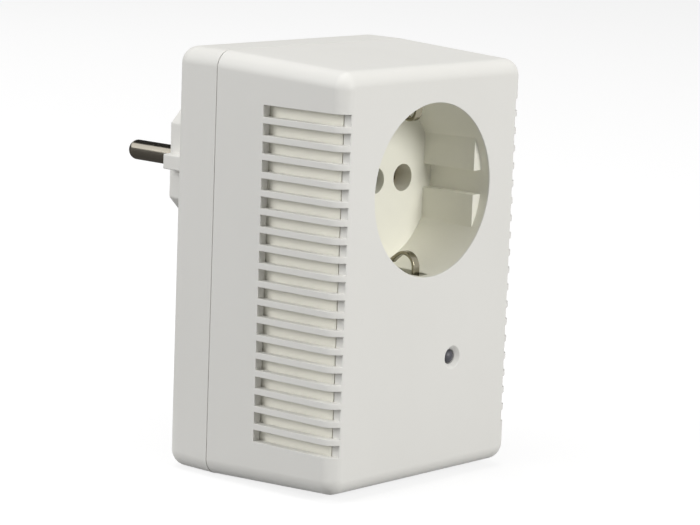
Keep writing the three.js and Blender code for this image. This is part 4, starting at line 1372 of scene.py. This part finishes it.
# ------------------------------------------------------------------ socket
@dataclass
class Socket(Assembly):
    """Moulded socket insert with its sprung earth clips and centre screw."""

    floor_r: float = 19.4
    depth: float = 17.5
    floor_t: float = 2.0
    front_y: float = 2.4
    mouth_y: float = 0.36
    mouth_out_r: float = 20.08
    flat_x: float = 16.8
    channel_h: float = 5.5
    recess_r: float = 3.0
    recess_depth: float = 4.0
    boss_r: float = 4.2
    web: float = 1.5
    hole_r: float = 3.15
    hole_len: float = 5.0
    sleeve_r: float = 3.6
    holder_r: float = 4.6
    holder_len: float = 5.5
    clip_slot_w: float = 4.6
    clip_slot_end: float = 12.2
    clip_w: float = 2.1
    clip_t: float = 0.8
    clip_arm_r: float = 22.35
    clip_crest_r: float = 14.8
    clip_crest_y: float = 7.7
    clip_leg_y: dict[str, float] = field(default_factory=lambda: {"top": 5.4, "bottom": 4.4})
    clip_tip: Point = (11.5, 17.7)
    clip_root_y: float = 24.5
    clip_bend: float = 1.4
    clip_edge_r: float = 0.24
    screw_r: float = 1.4
    screw_head_r: float = 2.7
    screw_head_t: float = 1.5
    screw_slot_w: float = 0.8
    screw_slot_depth: float = 0.7
    screw_end_y: float = 31.1
    screw_slot_reach: float = 4.0
    guide_reach_x: float = 23.0
    guide_reach_z: float = 20.0
    clip_slot_reach: float = 30.0
    soft: float = 0.14

    def build(self) -> None:
        """Builds the insert, both clips and the screw."""
        self._insert()
        for word, end in (("top", 1), ("bottom", -1)):
            self._clip(word, end)
        self._screw()

    def _insert(self) -> None:
        """Insert: barrel, guide blocks, pin holes, centre recess and clip slots."""
        lay = self.layout
        z = lay.socket_z
        back = self.depth + self.floor_t
        boss_end = self.depth + self.recess_depth + self.web
        body = lathe("insert", 0, z, [
            (0, self.mouth_y), (self.mouth_out_r, self.mouth_y), (self.mouth_out_r, self.front_y),
            (lay.well_out_r, self.front_y), (lay.well_out_r, back), (self.boss_r, back),
            (self.boss_r, boss_end), (0, boss_end),
        ], Facets.WELL)
        holder_end = self.depth + self.hole_len + self.holder_len
        ends = (back - OVER, holder_end)
        combine(body, "UNION", [
            rod("holder", side * lay.pin_x, z, self.holder_r, ends) for side in (-1, 1)
        ])
        combine(body, "DIFFERENCE", self._hollows(boss_end, holder_end))
        soften(body, self.soft, keep_sharp=((1, self.mouth_y - NEAR, self.mouth_y + NEAR),))
        self.show(body, "socket_insert", INSERT, ADAPTER, "socket_well")

    def _hollows(self, boss_end: float, holder_end: float) -> list[bpy.types.Object]:
        """Tools for the well, the centre recess, the clip slots and the pin holes.

        Args:
            boss_end: Depth of the back of the centre boss.
            holder_end: Depth of the back of the contact holders.

        Returns:
            The tools to cut from the insert.
        """
        lay = self.layout
        z = lay.socket_z
        slope = (lay.well_r - self.floor_r) / self.depth
        mouth_r = lay.well_r + slope * OVER
        well = rod("well", 0, z, mouth_r, (-OVER, self.depth), Facets.WELL, end_radius=self.floor_r)
        guides = []
        for side in (-1, 1):
            for end in (-1, 1):
                low_x, high_x = sorted((side * self.flat_x, side * self.guide_reach_x))
                low, high = sorted((end * self.channel_h / 2, end * self.guide_reach_z))
                depths = (self.front_y, self.depth + OVER)
                guides.append(block("guide", (low_x, high_x), depths, (z + low, z + high)))
        combine(well, "DIFFERENCE", guides)
        before = self.depth - OVER
        bottom = self.depth + self.recess_depth
        recess = lathe("recess", 0, z, [
            (0, before), (self.recess_r, before), (self.recess_r, bottom),
            (lay.screw_bore_r, bottom), (lay.screw_bore_r, boss_end + OVER), (0, boss_end + OVER),
        ])
        half = self.clip_slot_w / 2
        slot = (self.front_y - CLEAR, self.clip_slot_end)
        up = (z - self.clip_slot_reach, z + self.clip_slot_reach)
        seat = self.depth + self.hole_len
        past = holder_end + OVER
        holes = [
            lathe("hole", side * lay.pin_x, z, [
                (0, before), (self.hole_r, before), (self.hole_r, seat),
                (self.sleeve_r, seat), (self.sleeve_r, past), (0, past),
            ])
            for side in (-1, 1)
        ]
        return [well, recess, block("clips", (-half, half), slot, up), *holes]

    def _clip(self, word: str, end: int) -> None:
        """Sprung clip: an arm beside the barrel, bent over its edge to a crest in the well.

        Args:
            word: Which clip, top or bottom.
            end: 1 above the socket's middle, -1 below it.
        """
        arm = self.clip_arm_r + self.clip_t / 2
        crest = (self.clip_crest_y, self.clip_crest_r + self.clip_t / 2)
        leg = self.clip_leg_y[word]
        bend = self.clip_bend
        path: list[Point] = [(self.clip_root_y, arm)]
        path += bezier([(leg + bend, arm), (leg, arm), (leg, arm - bend)], 10)
        path += bezier([
            (leg, self.clip_crest_r + 3.2), (leg + 0.2, self.clip_crest_r + 1.4),
            (crest[0] - 1.7, crest[1]), crest,
        ], 24)
        path += bezier([crest, (crest[0] + 1.2, crest[1]), self.clip_tip], 14)[1:]
        strip = carrier("clip", [(0.0, y, self.layout.socket_z + end * r) for y, r in path], joined=True)
        self.nodes.run(
            strip, self.nodes.strip, Width=self.clip_w, Thickness=self.clip_t,
            Edge_Radius=self.clip_edge_r, Steps=120, Material=self.paint.material(SHADED_CLIP_NICKEL),
        )
        face_outwards(strip)
        smooth(strip, 60)
        body = f"earth_clip_{word}"
        self.show(strip, f"earth_clip_strip_{word}", SHADED_CLIP_NICKEL, body, f"socket_earth_clip_{word}")

    def _screw(self) -> None:
        """Slotted screw at the bottom of the centre recess."""
        z = self.layout.socket_z
        seat = self.depth + self.recess_depth - CLEAR
        head = seat - self.screw_head_t
        head_r = self.screw_head_r
        end = self.screw_end_y
        screw = lathe("screw", 0, z, [
            (0, head), (head_r - 0.3, head), (head_r, head + 0.3), (head_r, seat),
            (self.screw_r, seat), (self.screw_r, end - 0.5), (self.screw_r - 0.5, end), (0, end),
        ], Facets.HEAD)
        half = self.screw_slot_w / 2
        reach = self.screw_slot_reach
        deep = (head - OVER, head + self.screw_slot_depth)
        combine(screw, "DIFFERENCE", [block("tool", (-reach, reach), deep, (z - half, z + half))])
        smooth(screw)
        self.show(screw, "socket_screw", STEEL, ADAPTER, "socket_centre_screw")


def bezier(handles: Sequence[Point], steps: int) -> list[Point]:
    """Points along a Bezier curve of any degree.

    Args:
        handles: Its control points.
        steps: Number of pieces between the points.

    Returns:
        The points, both ends included.
    """
    points = []
    for i in range(steps + 1):
        row = [Vector(p) for p in handles]
        while len(row) > 1:
            row = [a.lerp(b, i / steps) for a, b in zip(row, row[1:])]
        points.append((row[0].x, row[0].y))
    return points


def face_outwards(piece: bpy.types.Object) -> None:
    """Merges doubled points of a swept mesh and turns its faces outwards.

    Args:
        piece: The mesh object.
    """
    bm = bmesh.new()
    bm.from_mesh(piece.data)
    bmesh.ops.remove_doubles(bm, verts=bm.verts, dist=1e-4)
    bmesh.ops.recalc_face_normals(bm, faces=bm.faces)
    bm.to_mesh(piece.data)
    bm.free()


# ------------------------------------------------------------------ plug
@dataclass
class Plug(Assembly):
    """Mains plug on the back: moulding, round pins and side earth contacts."""

    face_y: float = 68.6
    flange_y: float = 45.5
    flange_t: float = 2.4
    flange_lip: float = 4.0
    wall: float = 2.0
    face_t: float = 4.0
    rib_setback: float = 0.9
    groove_r: float = 14.9
    groove_floor: float = 1.3
    contact_r: float = 16.0
    contact_w: float = 5.2
    contact_t: float = 0.8
    contact_base_y: float = 44.6
    contact_tip_y: float = 67.0
    pin_r: float = 2.4
    tip_r: float = 1.9
    collar_r: float = 3.1
    collar_t: float = 1.5
    shank_r: float = 1.6
    groove_reach: float = 30.0
    soft: float = 0.35
    bracket_soft: float = 0.18

    def build(self) -> None:
        """Builds the moulding, the pins and the earth bracket."""
        self._moulding()
        for word, side in (("left", -1), ("right", 1)):
            self._pin(word, side)
        self._bracket()

    def _moulding(self) -> None:
        """Hollow moulding with side ribs, earth grooves and pin bores."""
        lay = self.layout
        z = lay.socket_z
        half = lay.rib_h / 2
        rim = (self.flange_y, self.flange_y + self.flange_t)
        rib = (self.flange_y, self.face_y - self.rib_setback)
        body = loft("plug", [at_depth(lay.plug_outline(0), y) for y in (self.flange_y, self.face_y)])
        combine(body, "UNION", [
            loft("flange", [at_depth(lay.plug_outline(self.flange_lip), y) for y in rim]),
            block("ribs", (-lay.rib_x, lay.rib_x), rib, (z - half, z + half)),
        ])
        groove = self.contact_w / 2 + lay.gap
        combine(body, "DIFFERENCE", self._hollows(groove))
        beside = groove + NEAR
        soften(body, self.soft, 3, keep_sharp=((0, -beside, beside),))
        self.show(body, "plug_moulding", HOUSING, ADAPTER, "plug_body")

    def _hollows(self, groove: float) -> list[bpy.types.Object]:
        """Tools for the moulding's inside, its earth grooves and its pin bores.

        Args:
            groove: Half the width of a groove.

        Returns:
            The tools to cut from the moulding.
        """
        lay = self.layout
        z = lay.socket_z
        before = self.flange_y - OVER
        inner = self.face_y - self.face_t
        past = self.face_y + OVER
        inside = loft("inside", [at_depth(lay.plug_outline(-self.wall), y) for y in (before, inner)])
        reach = self.groove_r - self.groove_floor
        combine(inside, "INTERSECT", [block("tool", (-FAR, FAR), (0, BEHIND), (z - reach, z + reach))])
        tools = [inside]
        for end in (-1, 1):
            low, high = sorted((end * self.groove_r, end * self.groove_reach))
            tools.append(block("groove", (-groove, groove), (before, past), (z + low, z + high)))
        collar_r = self.collar_r + lay.gap
        bore_r = self.pin_r + 0.15
        for side in (-1, 1):
            tools.append(lathe("bore", side * lay.pin_x, z, [
                (0, before), (collar_r, before), (collar_r, inner),
                (bore_r, inner), (bore_r, past), (0, past),
            ]))
        return tools

    def _pin(self, word: str, side: int) -> None:
        """Round pin with a collar behind the plug's face and a rounded tip.

        Args:
            word: Which pin, left or right.
            side: -1 on the left, 1 on the right.
        """
        lay = self.layout
        collar = self.face_y - self.face_t - CLEAR
        flange = collar - self.collar_t
        tip = lay.total_depth - self.tip_r
        profile = [
            (0, lay.board_y), (self.shank_r, lay.board_y), (self.shank_r, flange),
            (self.collar_r, flange), (self.collar_r, collar), (self.pin_r, collar),
            (self.pin_r, collar + 8.0), (self.pin_r, tip - 4.0),
        ]
        for turn in quarter_turn(14):
            radius = self.pin_r - self.tip_r + self.tip_r * math.cos(turn)
            profile.append((radius, tip + self.tip_r * math.sin(turn)))
        profile.append((0, lay.total_depth))
        pin = lathe("pin", side * lay.pin_x, lay.socket_z, profile, Facets.PIN)
        smooth(pin, 50)
        self.show(pin, f"round_pin_{word}", NICKEL, ADAPTER, f"plug_pin_{word}")

    def _bracket(self) -> None:
        """U-shaped earth bracket whose two arms lie in the plug's grooves."""
        z = self.layout.socket_z
        across = (-self.contact_w / 2, self.contact_w / 2)
        base = (self.contact_base_y, self.contact_base_y + self.contact_t)
        length = (self.contact_base_y, self.contact_tip_y)
        bracket = block("bracket", across, base, (z - self.contact_r, z + self.contact_r))
        arms = []
        for end in (-1, 1):
            low, high = sorted((end * self.contact_r, end * (self.contact_r - self.contact_t)))
            arms.append(block("arm", across, length, (z + low, z + high)))
        combine(bracket, "UNION", arms)
        soften(bracket, self.bracket_soft)
        self.show(bracket, "earth_bracket", NICKEL, ADAPTER, "plug_earth_bracket")


# ------------------------------------------------------------------ board parts
@dataclass
class Board(Assembly):
    """Parts on the circuit board that reach the outside, and dress for all the rest."""

    guide_r: float = 1.6
    guide_flange_r: float = 2.6
    guide_flange_t: float = 1.0
    guide_sink: float = 0.4
    guide_rise: float = 1.2
    guide_end_y: float = 34.9
    jack_z: Point = (1.0, 21.0)
    port_w: float = 11.9
    port_d: float = 8.3
    port_y: float = 31.3
    port_len: float = 12.5
    key_w: float = 6.2
    key_d: float = 1.9
    key_short: float = 3.0
    contacts: int = 8
    contact_pitch: float = 1.02
    wire: float = 0.36
    jack_soft: float = 0.2
    dress: dict[str, Finish] = field(default_factory=lambda: {
        "vent_baffle_left": BOUNCE_LIT_BAFFLE, "vent_baffle_right": BOUNCE_LIT_BAFFLE,
        "socket_contact_left": BRASS, "socket_contact_right": BRASS,
        "socket_earth_strap": NICKEL, "earth_post": BRASS,
        "main_board": BOARD, "status_led": RESIN,
        "switching_transformer": TAPE, "coupling_transformer": TAPE, "interference_capacitor": TAPE,
        "filter_choke": FERRITE, "surge_varistor": BLUE,
        "mains_capacitor_left": SLEEVE, "mains_capacitor_right": SLEEVE, "output_capacitor": SLEEVE,
        "mains_fuse": BLACK, "bridge_rectifier": BLACK, "modem_chip": BLACK, "memory_chip": BLACK,
        "network_transformer": BLACK, "power_controller": BLACK,
        "modem_heatsink": SINK, "clock_crystal": STEEL,
    })

    def build(self) -> None:
        """Builds the light guide and the jack, and dresses the CAD parts that stay."""
        self._guide()
        self._jack()
        self._contacts()
        for name, finish in self.dress.items():
            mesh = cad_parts[name].data
            mesh.materials.clear()
            mesh.materials.append(self.paint.material(finish))
            LOG.info("%s: dressed in %s", name, finish.name)

    def _guide(self) -> None:
        """Smoked light guide with a domed end, a flange behind the face and a stem to the LED."""
        lay = self.layout
        r = self.guide_r
        flange_r = self.guide_flange_r
        profile = [(0, self.guide_sink)]
        for turn in quarter_turn(12)[1:]:
            depth = self.guide_sink + self.guide_rise * (1 - math.cos(turn))
            profile.append((r * math.sin(turn), depth))
        front = lay.face_t + lay.gap
        back = front + self.guide_flange_t
        profile += [
            (r, front), (flange_r, front), (flange_r, back), (r, back),
            (r, self.guide_end_y), (0, self.guide_end_y),
        ]
        guide = lathe("guide", *lay.light, profile, Facets.GUIDE)
        smooth(guide, 50)
        self.show(guide, "indicator_guide", SMOKED, ADAPTER, "light_guide")

    def _jack(self) -> None:
        """Network jack: black body with a keyed port."""
        lay = self.layout
        z0 = self.jack_z[0]
        body = block("jack", (-lay.jack_w / 2, lay.jack_w / 2), lay.jack_y, self.jack_z)
        back = self.port_y + self.port_d / 2
        port = (-self.port_w / 2, self.port_w / 2)
        key = (-self.key_w / 2, self.key_w / 2)
        top = z0 + self.port_len
        combine(body, "DIFFERENCE", [
            block("port", port, (back - self.port_d, back), (z0 - OVER, top)),
            block("key", key, (back - OVER, back + self.key_d), (z0 - OVER, top - self.key_short)),
        ])
        soften(body, self.jack_soft)
        self.show(body, "network_port", BLACK, ADAPTER, "network_jack")

    def _contacts(self) -> None:
        """Row of spring contacts inside the jack's port."""
        front = self.port_y - self.port_d / 2
        z0 = self.jack_z[0]
        half = self.wire / 2
        section = [(-half, 0), (half, 0), (half, self.wire), (-half, self.wire)]
        path = [
            (front + 0.1, z0 + 2.0), (front + 0.9, z0 + 3.0), (front + 3.4, z0 + self.port_len - 0.4),
        ]
        row = loft("contact", [[Vector((a, y + b, z)) for a, b in section] for y, z in path])
        first = -(self.contacts - 1) * self.contact_pitch / 2
        self.nodes.run(
            row, self.nodes.row, Count=self.contacts, First=(first, 0.0, 0.0),
            Step=(self.contact_pitch, 0.0, 0.0), Material=self.paint.material(BRASS),
        )
        smooth(row)
        self.show(row, "port_contacts", BRASS, ADAPTER)


# ------------------------------------------------------------------ studio
@dataclass
class Lamp:
    """A soft area lamp: its place, its size in metres, its power and whether metal mirrors it."""

    name: str
    place: tuple[float, float, float]
    size: float
    power: float
    colour: tuple[float, float, float] = (1.0, 1.0, 1.0)
    mirrored: bool = True


@dataclass
class Studio:
    """Camera, pale floor, soft lamps and white surroundings."""

    target: tuple[float, float, float] = (0.0, -0.0188, 0.045)
    azimuth: float = -48.1575
    elevation: float = 10.0142
    roll: float = 2.1344
    distance: float = 0.66614
    lens: float = 148.03
    shift: tuple[float, float] = (0.0037, 0.0169)
    world_level: float = 0.22
    floor_glow: float = 0.80
    floor_tone: float = 0.26
    floor_r: float = 9.0
    floor_z: float = -0.0002
    low_card: tuple[Point, ...] = ((0.05, 0.001), (0.70, 0.001), (0.78, 0.05), (0.80, 0.36))
    high_card: tuple[Point, ...] = ((-0.16, 1.00), (0.70, 0.96), (1.20, 0.60), (1.30, 0.37))
    card_colour: tuple[float, float, float] = (0.355, 0.35, 0.345)
    lamps: list[Lamp] = field(default_factory=lambda: [
        Lamp("key", (0.14, -1.29, 0.54), 0.60, 12.1, (1.0, 0.995, 0.98)),
        Lamp("top", (-0.1, 0.1, 1.3), 0.9, 5.5),
        Lamp("side", (-1.12, 0.50, 0.62), 0.85, 9.65),
        Lamp("back", (0.45, 0.95, 0.75), 0.7, 1.5, mirrored=False),
    ])

    def build(self) -> None:
        """Sets up everything round the object."""
        scene = bpy.context.scene
        scene.view_settings.view_transform = "Standard"
        self._camera(scene)
        self._floor()
        self._flag()
        self._world(scene)
        for lamp in self.lamps:
            self._lamp(lamp)

    def _camera(self, scene: bpy.types.Scene) -> None:
        """Camera at the viewing angle, with its small roll about the line of sight.

        Args:
            scene: The scene that it becomes the camera of.
        """
        a, e, roll = (math.radians(v) for v in (self.azimuth, self.elevation, self.roll))
        back = Vector((math.sin(a) * math.cos(e), -math.cos(a) * math.cos(e), math.sin(e)))
        level = Vector((math.cos(a), math.sin(a), 0.0))
        upright = back.cross(level)
        right = level * math.cos(roll) + upright * math.sin(roll)
        up = upright * math.cos(roll) - level * math.sin(roll)
        data = bpy.data.cameras.new("camera")
        data.lens = self.lens
        data.sensor_width = 36.0
        data.sensor_fit = "HORIZONTAL"
        data.shift_x, data.shift_y = self.shift
        data.clip_start = 0.01
        data.clip_end = 20.0
        camera = bpy.data.objects.new("camera", data)
        place = Vector(self.target) + back * self.distance
        columns = Matrix((right, up, back)).transposed().to_4x4()
        camera.matrix_world = Matrix.Translation(place) @ columns
        scene.collection.objects.link(camera)
        scene.camera = camera

    def _floor(self) -> None:
        """Wide pale floor that shows as white away from the object's shadow."""
        bm = bmesh.new()
        bmesh.ops.create_circle(bm, cap_ends=True, segments=96, radius=self.floor_r)
        floor = to_object("floor", bm)
        for polygon in floor.data.polygons:
            if polygon.normal.z < 0:
                polygon.flip()
        floor.location.z = self.floor_z
        material, g = blank_material("pale_floor")
        plain = g.add("ShaderNodeBsdfDiffuse")
        tone = self.floor_tone
        plain.inputs["Color"].default_value = (tone, tone, tone, 1.0)
        glow = g.add("ShaderNodeEmission")
        glow.inputs["Strength"].default_value = self.floor_glow
        both = g.add("ShaderNodeAddShader")
        g.link(plain.outputs[0], both.inputs[0])
        g.link(glow.outputs[0], both.inputs[1])
        mix = g.add("ShaderNodeMixShader")
        g.link(seen(g), mix.inputs[0])
        g.link(plain.outputs[0], mix.inputs[1])
        g.link(both.outputs[0], mix.inputs[2])
        g.link(mix.outputs[0], g.add("ShaderNodeOutputMaterial").inputs["Surface"])
        floor.data.materials.append(material)
        floor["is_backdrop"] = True

    def _flag(self) -> None:
        """Dark cards behind and above the adapter that only reflections see, to shade bright metal."""
        low, high = self.low_card, self.high_card
        cards = [
            [[(x, y, z) for y, z in low] for x in (-1.2, 1.2)],
            [[(x, y, z) for x, z in high] for y in (0.30, 1.5)],
        ]
        bm = bmesh.new()
        for card in cards:
            near, far = ([bm.verts.new(place) for place in edge] for edge in card)
            for i in range(len(near) - 1):
                bm.faces.new((near[i], far[i], far[i + 1], near[i + 1]))
        flag = to_object("dark_flag", bm)
        material, g = blank_material("black_card")
        card = g.add("ShaderNodeBsdfDiffuse")
        card.inputs["Color"].default_value = linear(self.card_colour)
        g.link(card.outputs[0], g.add("ShaderNodeOutputMaterial").inputs["Surface"])
        flag.data.materials.append(material)
        for ray in ("camera", "diffuse", "shadow", "transmission", "volume_scatter"):
            setattr(flag, f"visible_{ray}", False)
        flag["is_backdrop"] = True

    def _world(self, scene: bpy.types.Scene) -> None:
        """Even light all round, and plain white where the camera, metal or glass looks past.

        Args:
            scene: The scene that it surrounds.
        """
        world = bpy.data.worlds.new("surroundings")
        world.use_nodes = True
        world.node_tree.nodes.clear()
        g = Graph(world.node_tree)
        light = g.add("ShaderNodeBackground")
        white = g.add("ShaderNodeBackground")
        for node in (light, white):
            node.inputs["Color"].default_value = (1.0, 1.0, 1.0, 1.0)
        light.inputs["Strength"].default_value = self.world_level
        mix = g.add("ShaderNodeMixShader")
        g.link(seen(g), mix.inputs[0])
        g.link(light.outputs[0], mix.inputs[1])
        g.link(white.outputs[0], mix.inputs[2])
        g.link(mix.outputs[0], g.add("ShaderNodeOutputWorld").inputs["Surface"])
        scene.world = world

    def _lamp(self, lamp: Lamp) -> None:
        """Adds one lamp, turned towards the middle of the object.

        Args:
            lamp: The lamp to add.
        """
        data = bpy.data.lights.new(lamp.name, "AREA")
        data.shape = "DISK"
        data.size = lamp.size
        data.energy = lamp.power
        data.color = lamp.colour
        made = bpy.data.objects.new(lamp.name, data)
        made.location = lamp.place
        made.visible_glossy = lamp.mirrored
        aim = Vector((0.0, 0.0, 0.05)) - Vector(lamp.place)
        made.rotation_mode = "QUATERNION"
        made.rotation_quaternion = aim.to_track_quat("-Z", "Y")
        bpy.context.scene.collection.objects.link(made)


def seen(g: Graph) -> bpy.types.NodeSocket:
    """Mask of camera, glossy and transmission rays, for surroundings that show as white.

    Args:
        g: The tree's graph helper.

    Returns:
        The mask.
    """
    path = g.add("ShaderNodeLightPath")
    either = g.maths("MAXIMUM", path.outputs["Is Camera Ray"], path.outputs["Is Glossy Ray"])
    return g.maths("MAXIMUM", either, path.outputs["Is Transmission Ray"])


def corners() -> list[list[float]]:
    """Lowest and highest corner of all that shows, as plain lists."""
    return [list(corner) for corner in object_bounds()]


def main() -> None:
    """Builds the adapter and its surroundings."""
    logging.basicConfig(level=logging.INFO, format="%(name)s %(message)s")
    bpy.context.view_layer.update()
    paint = Paintshop()
    nodes = NodeKit()
    layout = Layout()
    for assembly in (Housing, Socket, Plug, Board):
        LOG.info("building %s", assembly.__name__)
        assembly(paint, nodes, layout).build()
    Studio().build()


if __name__ == "__main__":
    main()
